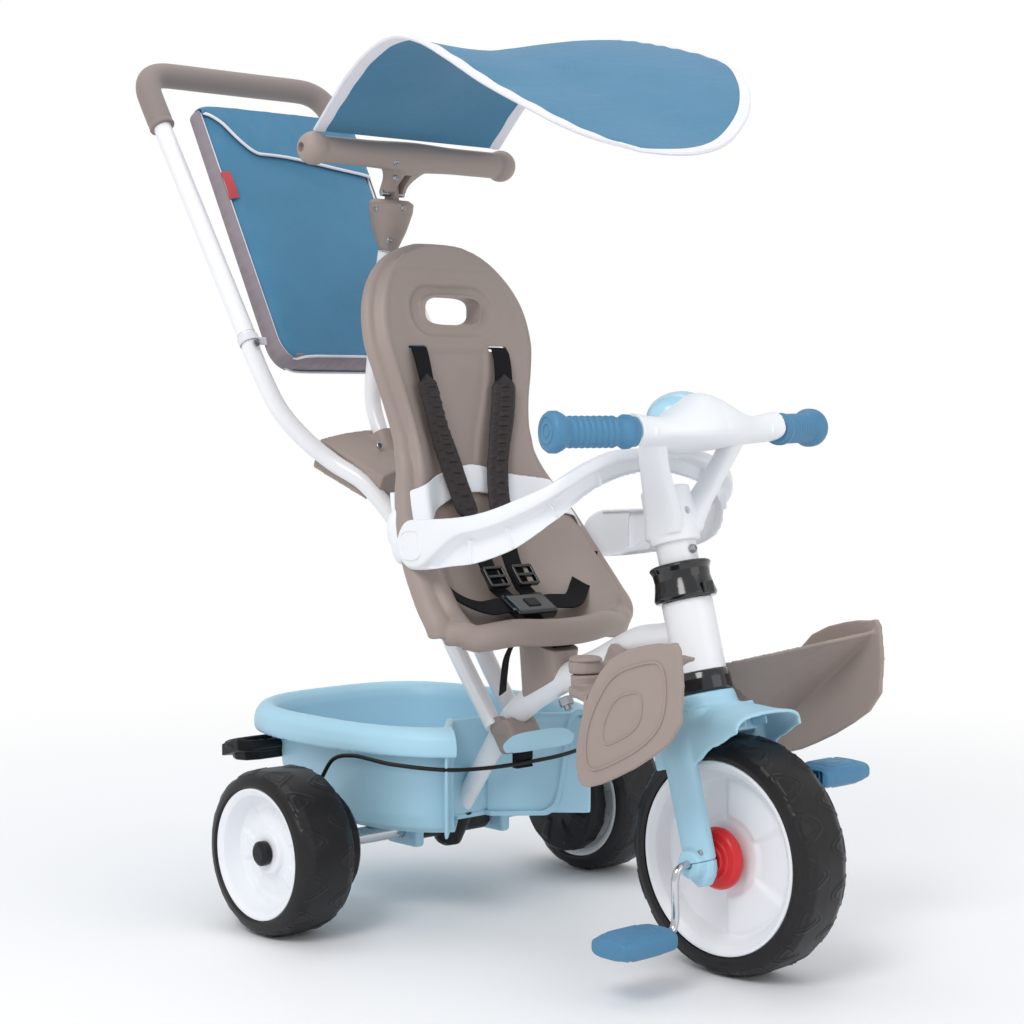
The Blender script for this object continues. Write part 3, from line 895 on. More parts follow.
def make_basket():
    prof = [[0, 104], [0.6, 104], [0.80, 105], [0.86, 112], [0.885, 124], [0.92, 165], [0.95, 208], [0.965, 216], [1.0, 222.6], [1.03, 223.4], [1.075, 220], [1.108, 212], [1.120, 202], [1.116, 193], [1.100, 190.5],
            [1.098, 196], [1.092, 206], [1.06, 214], [1.02, 217], [0.985, 212], [0.965, 200], [0.945, 165], [0.905, 120], [0.88, 106], [0.82, 99.5], [0.6, 98.5], [0, 98.5]]
    prof = fillet(prof[1:-1], 0.02, 3) if False else prof
    nb = 220
    P, F = [], []
    for r, z in prof:
        for i in range(nb):
            a = 2 * math.pi * i / nb
            ex, ey = superxy(a, BX * max(r, 1e-4), BY * max(r, 1e-4), 2.9)
            if ey < 0: ex *= 1 - 0.05 * (ey / BY) ** 2
            zz = z
            if z > 185: zz += 1.5 * math.exp(-((ey - BY * r) / 60) ** 2)
            P.append(V(ex, BC + ey, zz))
    m = len(prof)
    for j in range(m - 1):
        for i in range(nb):
            a, b = j * nb + i, j * nb + (i + 1) % nb
            c, d = (j + 1) * nb + (i + 1) % nb, (j + 1) * nb + i
            F.append((a, b, c, d))
    tub = (P, F, None)
    # inner fold at the seat tubes
    lining = [rbox(V(0, 218, 158), [62, 8, 118], 3), rbox(V(-29, 165, 158), [8, 110, 118], 3), rbox(V(29, 165, 158), [8, 110, 118], 3)]
    notch = rbox(V(0, 137, 165), [50, 154, 175], 3)
    poly = [(-112, 96), (112, 96), (100, 128), (25, 205), (25, 214), (-25, 214), (-25, 205), (-100, 128)]
    vee = ([V(x, y, z) for z in (70, 260) for x, y in poly], [tuple(range(8))[::-1], tuple(range(8, 16))] + [(i, (i + 1) % 8, 8 + (i + 1) % 8, 8 + i) for i in range(8)], None)
    def wall(x0, y0, x1, y1, z0=101, z1=214, th=5.0):
        d = unit(V(x1 - x0, y1 - y0, 0)); nn = V(-d[1], d[0], 0)
        c0 = (V(x0, y0, 0) + V(x1, y1, 0)) / 2
        R = np.array([d, nn, V(0, 0, 1)]).T
        return rbox(V(c0[0], c0[1], (z0 + z1) / 2), [float(np.hypot(x1 - x0, y1 - y0)) + 8, th, z1 - z0], 2.2, R, n=12)
    walls = [wall(-108, 129, -29, 209), wall(108, 129, 29, 209), wall(-30, 217, 30, 217)]
    rims = [tube([V(sx * 110, 129, 212), V(sx * 98, 141, 213), V(sx * 34, 207, 213), V(sx * 22, 217, 213)], 5.6, 20, rounded=4) for sx in (-1, 1)]
    clips = []
    for sx in (-1, 1):
        clips.append(rbox(V(sx * 66, 249, 92), [14, 54, 40], 4))
    axle = cyl(V(-262, REAR_Y, REAR_R), V(262, REAR_Y, REAR_R), 10.0, 10.0, 48, 0.2)
    ribs = []
    ob = fused("basket_shell", [tub] + clips, M["light"], "frame", ["basket"], voxel=1.9, smooth=5, cuts=[vee, axle], sharp=40)
    fused("basket_front", walls + rims, M["light"], "frame", voxel=1.6, smooth=4)

make_basket()

# ------------------------------------------------------------------ canopy
NEAR = CR([V(*p) for p in ((-145, 306, 881.5), (-155, 262, 908), (-160, 222, 935), (-161, 184, 955), (-160, 150, 963), (-158, 110, 954), (-155, 70, 933), (-150, 24, 905), (-150, -36, 876), (-147, -93, 849), (-141, -139, 831), (-130, -183, 818))])
FAR = CR([V(*p) for p in ((131, 306, 881.5), (139, 266, 930), (143, 228, 962), (145, 190, 980), (146, 150, 987), (146, 110, 987), (144, 66, 979), (140, 25, 969), (134, -24, 955), (124, -62, 941))])
FRONT = CR([V(*p) for p in ((-130, -183, 818), (-116, -207, 814), (-92, -221, 815), (-50, -220, 827), (0, -202, 857), (44, -167, 889), (84, -122, 916), (110, -85, 933), (124, -62, 941))])
C00, C10, C01, C11 = V(-145, 306, 881.5), V(131, 306, 881.5), V(-130, -183, 818), V(124, -62, 941)

def canopy_mid(u, v):
    p = NEAR.get(v) * (1 - u) + FAR.get(v) * u + (V(lerp(-145, 131, u), 306, 881.5)) * (1 - v) + FRONT.get(u) * v
    return p - (C00 * (1 - u) * (1 - v) + C10 * u * (1 - v) + C01 * (1 - u) * v + C11 * u * v)

def canopy_point(u, v, off):
    e = 4e-3
    a = canopy_mid(min(1, u + e), v) - canopy_mid(max(0, u - e), v); b = canopy_mid(u, min(1, v + e)) - canopy_mid(u, max(0, v - e))
    n = np.cross(a, b); n = n / max(1e-9, np.linalg.norm(n))
    if n[2] < 0: n = -n
    return canopy_mid(u, v) + n * off

def make_canopy():
    nu, nv = 90, 170
    def wrinkle(u, v):
        e = min(u, 1 - u)
        g = 0.9 * math.exp(-(e / 0.06) ** 2) * math.sin(v * 86 + 2.2 * math.sin(v * 9))
        g += 0.5 * math.sin(v * 31 + u * 5) * math.exp(-((v - 0.16) / 0.1) ** 2)
        g += 0.45 * math.sin(u * 21 + v * 4) * math.exp(-((v - 0.95) / 0.06) ** 2)
        return g
    sheet = slab(nu, nv, lambda u, v, w: canopy_point(u, v, wrinkle(u, v) + (0.75 if w else -0.75)), uv=(0.29, 0.60))
    c = piece("canopy_sheet", sheet, M["fabric"], "canopy", ["canopy_panel"])
    # binding around the free edges
    path = [("n", v) for v in np.linspace(0.0, 1, 110)] + [("f", u) for u in np.linspace(0, 1, 60)][1:] + [("a", v) for v in np.linspace(1, 0.0, 110)][1:]
    mid, inn = [], []
    for k, q in path:
        u, v = (0.0, q) if k == "n" else (q, 1.0) if k == "f" else (1.0, q)
        ui, vi = cl(u + (0.05 if k == "n" else -0.05 if k == "a" else 0) * 1), (v if k != "f" else 1 - 0.024)
        if k == "f": ui = lerp(0.05, 0.95, u)
        if k in "na" and v > 0.976: vi = 0.976
        mid.append((u, v)); inn.append((ui, vi))
    n = len(mid); P, F, U = [], [], []
    prev, acc = None, 0.0
    for i in range(n):
        (u0, v0), (u1, v1) = mid[i], inn[i]
        g = 0.35 * math.sin(i * 1.9) + 0.25 * math.sin(i * 0.83)
        o = canopy_point(u0, v0, 0)
        outd = unit(o - canopy_point(u1, v1, 0)) * (2.2 + 0.3 * g)
        row = [canopy_point(u1, v1, 1.2 + wrinkle(u1, v1)), canopy_point(lerp(u0, u1, 0.5), lerp(v0, v1, 0.5), 2.0 + g + wrinkle(u0, v0) * 0.6), canopy_point(u0, v0, 1.9) + outd * 0.6, o + outd * 1.3, canopy_point(u0, v0, -1.9) + outd * 0.6,
               canopy_point(lerp(u0, u1, 0.5), lerp(v0, v1, 0.5), -2.0 + g + wrinkle(u0, v0) * 0.6), canopy_point(u1, v1, -1.2 + wrinkle(u1, v1))]
        if prev is not None: acc += float(np.linalg.norm(o - prev)) * 0.001
        prev = o
        for k, q in enumerate(row): P.append(q); U.append((acc, k * 0.005))
    m = 7
    for i in range(n - 1):
        for k in range(m):
            a, b = i * m + k, i * m + (k + 1) % m
            F.append((a, b, b + m, a + m))
    F.append(tuple(range(m))); F.append(tuple(range((n - 1) * m, n * m))[::-1])
    t = piece("canopy_binding", (P, F, None), M["trim"], "canopy")
    # sleeve over the cross tube with a gathered edge
    def sleeve(tt, a):
        x = lerp(-138, 126, tt); r = 19.6 + 0.5 * math.sin(a * 3 + tt * 14) + 0.4 * math.sin(tt * 66)
        return V(x, 313 + 0 + r * math.cos(a), 862 + r * math.sin(a) + 0.8)
    return c

make_canopy()

# ------------------------------------------------------------------ canopy joint
def make_joint():
    cone = lathe(fillet([[0, 0], [9.6, 0], [12.4, 4], [20.4, 24], [26.3, 46], [26.5, 56], [20, 60], [0, 60]], 2.4, 6), V(0, 355.5, 756), V(0, -9, 70), 72)
    tongue = rbox(V(0, 347.5, 822), [9, 20, 26], 3, n=10)
    fused("joint_cup", [cone], M["taupe"], "frame", ["canopy_joint"], voxel=1.0, smooth=4)
    piece("joint_tongue", tongue, M["taupe"], "frame")
    s = []
    cdir = unit(V(-0.75, -0.66, 0.05))
    for a, h, r in ((-3.0, 51, 26.2), (-1.68, 51, 26.2), (-2.2, 12, 16.4)):
        q = unit(V(0, -9, 70)); o = V(0, 355.5, 756) + q * h
        d = unit(V(math.cos(a), math.sin(a), -0.1)); s.append(screw(o + d * r, d, 3.6, 1.6))
    piece("joint_screws", s, M["screw"], "frame")
    # T bar
    bar = tube([V(x, 313, 862) for x in np.linspace(-142, 142, 40)], lambda t: lerp(15.5, 17.5, sm(abs(t - 0.5) * -4 + 1)), 40)
    ends = [ball(V(sx * 142, 313, 862), 18.5, 19, 19, 56) for sx in (-1, 1)]
    neckring = [tube([V(sx * 124 , 313 + 17.3 * math.cos(a), 862 + 17.3 * math.sin(a)) for a in np.linspace(0, 2 * math.pi, 41)], 1.7, 10) for sx in (-1, 1)]
    def neck(t, a):
        z = lerp(822, 858, t); y = lerp(346.5, 318, sm(t)); w = lerp(15, 52, t ** 2.6)
        x, b = superxy(a, w, lerp(13, 15, t), 3.0)
        return V(x, y + b, z)
    wing = [rbox(V(sx * 40, 313, 846), [46, 10, 16], 4, n=8) for sx in (-1, 1)]
    cuts = [cyl(V(-166, 313, 862), V(-154, 313, 862), 6.0, 5.0, 32, 0.2), rbox(V(0, 346.5, 822), [10.4, 60, 40], 0.4, n=4)]
    fused("t_bar", [bar] + ends + [loft(40, 60, neck)], M["taupe"], "canopy", ["canopy_bar"], voxel=1.4, smooth=9, cuts=cuts)
    sc2 = [screw(V(x, 300.4, 852.5), V(0, -0.82, -0.57), 3.6) for x in (-32, 2)] + [screw(V(-16, 320.6, 838), V(0, -1, -0.1), 3.6), cyl(V(-17, 346.5, 822), V(17, 346.5, 822), 3.4, 3.4, 24, 0.6)]
    piece("t_bar_screws", sc2, M["screw"], "canopy")

make_joint()

# ------------------------------------------------------------------ push handle
def make_handle():
    T = V(0, HTY, HTZ); R = 42.0
    A = tip(0.2)
    corner = V(HX, HTY, HTZ)
    p = [A, tip(60), tip(180)]
    below = corner - LEG * R
    p += [below]
    for k in range(1, 8):
        t = k / 8; # quadratic blend round the corner
        q = (1 - t) ** 2 * below + 2 * t * (1 - t) * corner + t * t * (corner + V(-R, 0, 0)); p.append(q)
    p += [corner + V(-R, 0, 0), V(40, HTY, HTZ), V(0, HTY, HTZ)]
    half = CR(p)
    pts = half.run(150)
    path = [V(-q[0], q[1], q[2]) for q in pts] + pts[::-1][1:]
    piece("handle_tube", tube(path, 11, 36), M["tube"], "push_handle", ["push_handle_tube"])
    z0 = 912
    gi = [q for q in path if q[2] > z0]
    k0 = tip((z0 - 656) / LEG[2]); start = V(-k0[0], k0[1], k0[2])
    gpath = [start] + gi + [V(-start[0], start[1], start[2])]
    n = len(gpath)
    run = CR(gpath[::2] + ([gpath[-1]] if (n - 1) % 2 else [])).run(300)
    def rad(t):
        e = min(t, 1 - t)
        return 15.5 + 0.7 * math.exp(-((e - 0.004) / 0.004) ** 2) - 0.4 * math.exp(-((e - 0.02) / 0.004) ** 2)
    inner = 11.4
    piece("handle_grip", tube(run, rad, 44, rounded=2), M["taupe_soft"], "push_handle", ["push_handle_grip"])

make_handle()

# ------------------------------------------------------------------ storage bag
def bag_mid(t):
    z = lerp(622, 926, t)
    return z, 445 + (z - 656) * 0.6635 - lerp(4, 44, t)

def make_bag():
    n = unit(V(0, -0.8333, 0.5529)) * -1
    hwf = lambda t: lerp(118, 122, t) * (1 - 0.17 * (1 - math.sqrt(max(0.0, 1 - (1 - cl(t / 0.085)) ** 2))))
    def bpoint(u, t, d, inset=0.0):
        """u across (-1..1), t up, d offset to the front (-Y side positive)."""
        z, y = bag_mid(t); hw = hwf(t) * lerp(1, 0.97, abs(u) ** 6)
        f = unit(V(0, -0.8333, 0.5529))
        return V(u * (hw - inset), y, z) + f * d
    hd = lambda u, t: lerp(17, 14, t) * math.sqrt(max(0.0, 1 - 0.65 * abs(u) ** 8))
    def wr(u, t, k=1.0):
        a = 1.1 * math.sin(t * 37 + 5 * u) * sm((abs(u) - 0.55) / 0.45)
        b = 1.6 * math.exp(-((t - 0.93) / 0.05) ** 2) * math.sin(u * 23 + 1)
        c = 6.5 * math.exp(-((t - 0.42) / 0.36) ** 2) * (1 - u * u) + 2.2 * math.exp(-((t - 0.80 + 0.10 * u) / 0.035) ** 2) * sm((u + 0.6) / 0.5) - 1.6 * math.exp(-((t - 0.74 + 0.16 * u) / 0.03) ** 2) * (1 - abs(u))
        d = 0.8 * math.sin(u * 9 - t * 14) * math.exp(-((t - 0.12) / 0.16) ** 2)
        return k * (a + b + c + d)
    # front cloth (towards the child), back cloth, gusset band
    ni, nj = 70, 96
    def surf(side, inset, edge):
        def f(u, v, w):
            uu = (u - 0.5) * 2; base = hd(uu, v) * side
            pill = edge * sm((abs(uu) - 0.9) / 0.1)
            return bpoint(uu, v, base + side * wr(uu, v) * (0.5 if side > 0 else 0.4) - side * pill + (0.8 if w else -0.8) * side, inset)
        return f
    front = slab(ni, nj, surf(1, 4.0, 1.5), uv=(0.236, 0.366))
    back = slab(ni, nj, surf(-1, 4.0, 1.5), uv=(0.236, 0.366))
    fr = piece("bag_front", front, M["fabric"], "push_handle", ["storage_bag"])
    bk = piece("bag_back", back, M["fabric"], "push_handle")
    # gusset: wraps both sides and the bottom, with soft puckers
    path = [(-1, t) for t in np.linspace(1, 0.09, 80)] + [(-1, 0.085 * (1 - math.sin(a))) for a in np.linspace(0.1, 1.45, 12)] + [(u, 0.0) for u in np.linspace(-0.985, 0.985, 60)] + [(1, 0.085 * (1 - math.sin(a))) for a in np.linspace(1.45, 0.1, 12)] + [(1, t) for t in np.linspace(0.09, 1, 80)]
    P, F = [], []; m = 12
    for i, (u, t) in enumerate(path):
        uu, tt = cl((u + 1) / 2) * 2 - 1, max(0.0, t)
        z, y = bag_mid(tt); hw = hwf(tt); f = unit(V(0, -0.8333, 0.5529)); dn = unit(V(0, 0.5529, 0.8333))
        depth = lerp(17, 14, tt) * 0.98 * (0.76 if abs(u) >= 1 else 1.0)
        out = V(sgn(u), 0, 0) if abs(u) >= 1 else -dn
        c = V(u * hw if abs(u) < 1 else sgn(u) * hw, y, z)
        g = 1.0 * math.sin(i * 1.55) + 0.8 * math.sin(i * 0.61 + 1)
        for k in range(m):
            a = k / (m - 1); q = (a - 0.5) * 2
            bul = 3.2 * (1 - q * q) + g * (1 - abs(q)) ** 0.6 * 0.9
            P.append(c + f * (q * depth) + out * (bul - 2.5))
    n2 = len(path)
    Pin = [p * 1.0 for p in P]
    for i, (u, t) in enumerate(path):
        out = V(sgn(u), 0, 0) if abs(u) >= 1 else -unit(V(0, 0.5529, 0.8333))
        for k in range(m): Pin[i * m + k] = P[i * m + k] - out * 1.5
    base = len(P); P = P + Pin
    for i in range(n2 - 1):
        for k in range(m - 1):
            a, b, c, d = i * m + k, i * m + k + 1, (i + 1) * m + k + 1, (i + 1) * m + k
            F.append((a, b, c, d)); F.append((base + d, base + c, base + b, base + a))
        for k in (0, m - 1):
            a, d = i * m + k, (i + 1) * m + k; q = (a, d, base + d, base + a); F.append(q if k == 0 else q[::-1])
    F.append(tuple([k for k in range(m)] + [base + k for k in range(m)][::-1])[::-1]); F.append(tuple([(n2 - 1) * m + k for k in range(m)] + [base + (n2 - 1) * m + k for k in range(m)][::-1]))
    piece("bag_gusset", (P, F, None), M["gusset"], "push_handle", fix=True)
    # piping along both seams
    pipes = []
    for side in (1, -1):
        line = [bpoint(u if abs(u) < 1 else sgn(u) * 0.985, t, side * (hd(u, t) + 0.4), 0.5) for u, t in path[::2]]
        pipes.append(tube(CR(line).run(220), 1.5, 10, rounded=2))
    # flap over the top front with a curved lower edge
    def flap(u, v, w):
        uu = (u - 0.5) * 2; drop = 0.02 + 0.165 * sm((uu + 1.0) / 0.55) + 0.05 * sm((uu + 0.5) / 1.5)
        t = lerp(1.006, 1 - drop, v)
        return bpoint(uu * 0.985, t, hd(uu, min(1, t)) + 3.2 + 1.6 * math.sin(v * 2.6) + wr(uu, t, 0.5) + (0.8 if w else -0.8))
    piece("bag_flap", slab(60, 26, flap, uv=(0.236, 0.07)), M["fabric"], "push_handle")
    edge = [flap(u, 1.0, 0.5) for u in np.linspace(0, 1, 60)]
    pipes.append(tube(edge, 1.9, 10, rounded=2))
    def top(u, v, w):
        uu = (u - 0.5) * 2
        return bpoint(uu * 0.985, 1.0, lerp(hd(uu, 1) + 3.2, -hd(uu, 1) - 1.0, v)) + unit(V(0, 0.5529, 0.8333)) * (2.2 + 3.0 * math.sin(v * math.pi) + 0.6 * math.sin(u * 34) + (0.8 if w else -0.8))
    piece("bag_top", slab(60, 12, top, uv=(0.236, 0.03)), M["fabric"], "push_handle")
    piece("bag_piping", pipes, M["trim"], "push_handle")
    # plain tag
    def tagf(u, v, w):
        uu = lerp(-1.0, -0.90, u); t = lerp(0.74, 0.63, v)
        return bpoint(uu, t, hd(uu, t) + 3.0 + 1.2 * math.sin(v * 3) + wr(uu, t, 0.5) + (0.35 if w else -0.35))
    piece("bag_tag", slab(10, 16, tagf, uv=(0.02, 0.05)), M["tag"], "push_handle")
    # loops that hold the bag on the legs
    ties = []
    for sx in (-1, 1):
        for t in (0.09,):
            z, y = bag_mid(t); s = (z - 656) / LEG[2]; c = tip(s); c = V(sx * c[0], c[1], c[2])
            b = bpoint(sx * 0.97, t, -2)
            A2 = unit(np.cross(LEG, AX))
            loop = [c + AX * 12.6 * math.cos(a) * 1 + A2 * 12.6 * math.sin(a) for a in np.linspace(0.4, 2 * math.pi - 0.4, 30)]
            def band(u, v, w, c=c, A2=A2):
                a = u * 2 * math.pi
                return c + (AX * math.cos(a) + A2 * math.sin(a)) * (11.5 + (1.1 if w else 0)) + LEG * (v - 0.5) * 9
            ties.append(slab(40, 3, band))
            mid = (b + (c - V(sx * 11.5, 0, 0))) / 2
            ties.append(tube([b, mid + V(0, 0, -1.5), c - V(sx * 11.7, 0, 0)], 2.0, 10, flat=None) if False else rbox(mid, [abs(b[0] - c[0]) - 6, 3.0, 9], 0.9, n=6))
    piece("bag_ties", ties, M["trim"], "push_handle", fix=True)
    return fr, bk

make_bag()

# ------------------------------------------------------------------ harness
def strap(fpts, width, thick, uvscale=True):
    """Ribbon through points: each item is (centre, across direction, outward direction)."""
    n = len(fpts); P, F = [], []
    for c, ac, out in fpts:
        w = width(c) if callable(width) else width
        for a, b in ((-w, -thick / 2), (-w * 0.96, -thick / 2 - 0.0), (w * 0.96, -thick / 2), (w, -thick / 2), (w, thick / 2), (w * 0.96, thick / 2), (-w * 0.96, thick / 2), (-w, thick / 2)):
            P.append(c + ac * a + out * b)
    m = 8
    for i in range(n - 1):
        for k in range(m):
            a, b = i * m + k, i * m + (k + 1) % m
            F.append((a, b, b + m, a + m))
    F.append(tuple(range(m))[::-1]); F.append(tuple(range((n - 1) * m, n * m)))
    return P, F, None

def seat_frame(x, v, off):
    """A point on the seat at width x (mm) and row v, with across and outward directions."""
    p, n, w, rise = seat_row(v); q = cl(abs(x) / max(w, 1)) * sgn(x)
    c = seat_point(0.5 + q / 2, v, off)
    e = 3e-3
    c1 = seat_point(0.5 + q / 2, min(1, v + e), off); c0 = seat_point(0.5 + q / 2, max(0, v - e), off)
    along = unit(c1 - c0)
    a1 = seat_point(cl(0.5 + q / 2 + 0.02), v, off) - seat_point(cl(0.5 + q / 2 - 0.02), v, off)
    ac = unit(a1); out = unit(np.cross(ac, along))
    if np.dot(out, n) < 0: out = -out
    return c, ac, out

BK, BX_, BZ = seat_frame(0, 0.915, 19)
BY_ = unit(np.cross(BZ, BX_))
if BY_[1] < 0: BY_ = -BY_

def make_harness():
    parts, pads = [], []
    for sx in (-1, 1):
        line = []
        line += [(V(sx * 61, 262, 640), AX, V(0, 0, 1)), (V(sx * 61, 240, 639.5), AX, V(0, 0, 1)), (V(sx * 61, 228, 638.5), AX, unit(V(0, -0.5, 1)))]
        for v in np.linspace(0.383, 0.872, 120):
            t = cl((v - 0.383) / 0.489); x = sx * lerp(61, 19, sm(t))
            c, ac, out = seat_frame(x, v, 5 + 7.0 * math.sin(cl(t) * math.pi) ** 0.8 + 8 * sm((t - 0.55) / 0.4))
            tw = 0.20 * sx * sm(t) * (1 - t) * 4
            ac2 = unit(ac * math.cos(tw) + out * math.sin(tw)); line.append((c, ac2, unit(np.cross(ac2, unit(np.cross(out, ac2))) * -1) if False else out))
        # end in the buckle
        line.append((BK + BY_ * 22 + AX * sx * 18, AX, BZ))
        line.append((BK + BY_ * 12 + AX * sx * 17, AX, BZ))
        parts.append(strap(line, 11.5, 1.8))
        # padded sleeve
        def pad(u, v, w, sx=sx):
            t = lerp(0.12, 0.80, v); vv = 0.383 + 0.489 * t; x = sx * lerp(61, 19, sm(t))
            q = (u - 0.5) * 2; end = min(v, 1 - v)
            hw = max(2.0, 16.0 * sm(end / 0.09) ** 0.5)
            c, ac, out = seat_frame(x, vv, 5 + 7.0 * math.sin(t * math.pi) ** 0.8 + 8 * sm((t - 0.55) / 0.4))
            th = 4.6 * (1 - abs(q) ** 4) * (0.45 + 0.55 * sm(end / 0.05)) + 0.7
            rel = 0.0
            if w:
                s = v * 215
                if abs(q) < 0.42 and 0.07 < v < 0.93: rel = 2.0 * sm((math.cos(s * 2 * math.pi / 15) + 0.55) / 0.7) * sm((0.42 - abs(q)) / 0.1)
                rel += 1.3 * sm((math.cos(s * 2 * math.pi / 15 + 1.5) - 0.3) / 0.3) * math.exp(-((abs(q) - 0.72) / 0.12) ** 2)
            return c + ac * q * hw + out * ((th + rel) if w else -th * 0.75)
        pads.append(slab(26, 190, pad, uv=(0.033, 0.215)))
        # lap strap and its tail through the side
        L = CR([BK + AX * sx * 24, BK + AX * sx * 34 + BY_ * 5, V(sx * 66, 112, 352), V(sx * 92, 126, 366), V(sx * 112, 136, 390), V(sx * 122, 142, 404)])
        lap = []
        for t in np.linspace(0, 1, 50):
            c = L.at(t); d = L.tan(t); up2 = unit(V(-sx * 0.55 * t, -0.55, 0.8)); ac = unit(np.cross(d, up2)); lap.append((c + up2 * (1.5 * math.sin(t * 7)), ac, up2))
        parts.append(strap(lap, 11.5, 1.8))
    # crotch strap
    crotch = []
    for v in np.linspace(0.915, 0.985, 40):
        c, ac, out = seat_frame(0, v, 7.2 + 2.5 * math.sin((v - 0.915) / 0.07 * math.pi)); crotch.append((c, ac, out))
    parts.append(strap(crotch, 12, 1.9))
    # strap over the far front edge with a soft fold
    far = []
    for v in np.linspace(0.972, 0.999, 16):
        c, ac, out = seat_frame(lerp(40, 88, (v - 0.972) / 0.027), v, 6.4 + 4 * math.sin((v - 0.972) / 0.027 * math.pi)); far.append((c, ac, out))
    piece("harness_straps", parts, M["web"], "frame", ["shoulder_belt_left", "shoulder_belt_right", "lap_belt_left", "lap_belt_right", "crotch_belt"], fix=True)
    padob = []
    for i, p in enumerate(pads):
        padob.append(piece("shoulder_pad_" + ("right", "left")[i], p, M["pad"], "frame"))
    # the loose tail of the crotch strap under the seat, with its clip
    T = CR([V(-40, 92, 318), V(-52, 92, 300), V(-58, 90, 280), V(-66, 84, 262)])
    tl = [(T.get(t), unit(V(0.85, 0.5, 0.1)), unit(V(-0.5, 0.85, 0))) for t in np.linspace(0, 1, 24)]
    piece("strap_tail", strap(tl, 11, 1.8), M["web"], "frame", fix=True)
    # buckle with a release button, and two adjusters
    R = rot("x", math.radians(-36))
    R = np.array([AX, BY_, unit(np.cross(AX, BY_))]).T
    bk = BK; yy = R @ V(0, 1, 0); zz = R @ V(0, 0, 1)
    body = rbox(bk, [60, 36, 14], 4.5, R, n=22)
    ears = [rbox(bk + V(sx * 24, 0, 0) + yy * 6, [16, 30, 11], 3.5, R, n=12) for sx in (-1, 1)]
    fused("buckle_body", [body] + ears, M["gloss"], "frame", ["harness_buckle"], voxel=0.8, smooth=5)
    piece("buckle_button", rbox(bk + zz * 6.4 - yy * 1, [19, 15, 4.5], 2.0, R, n=14), M["matt"], "frame")
    adj = []
    for sx in (-1, 1):
        c, ac, out = seat_frame(sx * 22, 0.858, 22)
        al = unit(np.cross(out, ac)); Rm = np.array([ac, al, out]).T
        adj.append(rbox(c, [29, 4.0, 6.5], 1.8, Rm, n=10)); adj.append(rbox(c + al * 12, [29, 4.0, 6.5], 1.8, Rm, n=10)); adj.append(rbox(c - al * 12, [29, 4.0, 6.5], 1.8, Rm, n=10))
        for e in (-1, 1): adj.append(rbox(c + ac * e * 13.4, [3.4, 27, 6.5], 1.5, Rm, n=10))
    piece("belt_adjusters", adj, M["gloss"], "frame", fix=True)
    return padob

PADS = make_harness()

# ------------------------------------------------------------------ brake cable and brake drums
def make_brake():
    pts = [V(*p) for p in ((-177.5, 262, 158), (-176, 240, 184), (-170, 215, 190), (-152, 170, 184), (-110, 128, 178), (-60, 114, 176), (0, 112, 176), (60, 114, 178), (112, 128, 182), (154, 170, 186), (172, 215, 188), (177, 240, 180), (177.5, 258, 158))]
    line = CR(pts).run(260)
    cab = piece("brake_cable_line", tube(line, 2.3, 16), M["rubber"], "frame", ["brake_cable"])
    L = sum(float(np.linalg.norm(b - a)) for a, b in zip(line, line[1:])) * 0.001
    return cab, line, L

CABLE, CABLE_PATH, CABLE_LEN = make_brake()

def make_drums():
    prof = fillet([[9.9, 173], [34, 173], [58, 177], [62, 182], [62, 198.3], [9.9, 198.3], [9.9, 173]], 2.0, 5)
    def shape(r, y, t):
        if 20 < r < 56 and y < 185:
            k = (t / (2 * math.pi) * 8) % 1 - 0.5
            y -= 2.6 * sm((r - 22) / 5) * sm((54 - r) / 5) * sm((0.2 - abs(k)) / 0.06)
        if r > 61: r += 0.9 * sm((math.cos(t * 16) - 0.4) / 0.3)
        return r, y
    d = lathe(dense(prof, 2.2, 10, 62), V(0, REAR_Y, REAR_R), AX, 220, shape)
    for nm, f in (("left", lambda p: p), ("right", mirror)):
        piece("drum_" + nm, f(d), M["matt"], "frame", ["brake_drum_" + nm], sharp=30)
    soften("brake_pedal", M["matt"], 1.2, 8)
    soften("latch_strap", M["web"], 0.8, 3)

make_drums()

def make_plate():
    o = lambda a, k, z: V(-139 + superxy(a, 46 * k, 24 * k, 2.8)[0], 425 + superxy(a, 46 * k, 24 * k, 2.8)[1], z)
    n = 80
    rim = tube([o(a, 0.93, 177) for a in np.linspace(0, 2 * math.pi, n + 1)], 4.6, 16)
    pan = loft(10, 72, lambda t, a: o(a, lerp(0.80, 0.93, t), lerp(160, 175, t)))
    fused("brake_plate", [rim, pan], M["matt"], "brake", [], voxel=1.1, smooth=4)
    ribs = [rbox(V(-139 + x, 425, 176.6), [3, 30, 3.2], 1.0, n=8) for x in (-24, -8, 8, 24)]
    piece("brake_plate_ribs", ribs, M["matt"], "brake")

make_plate()

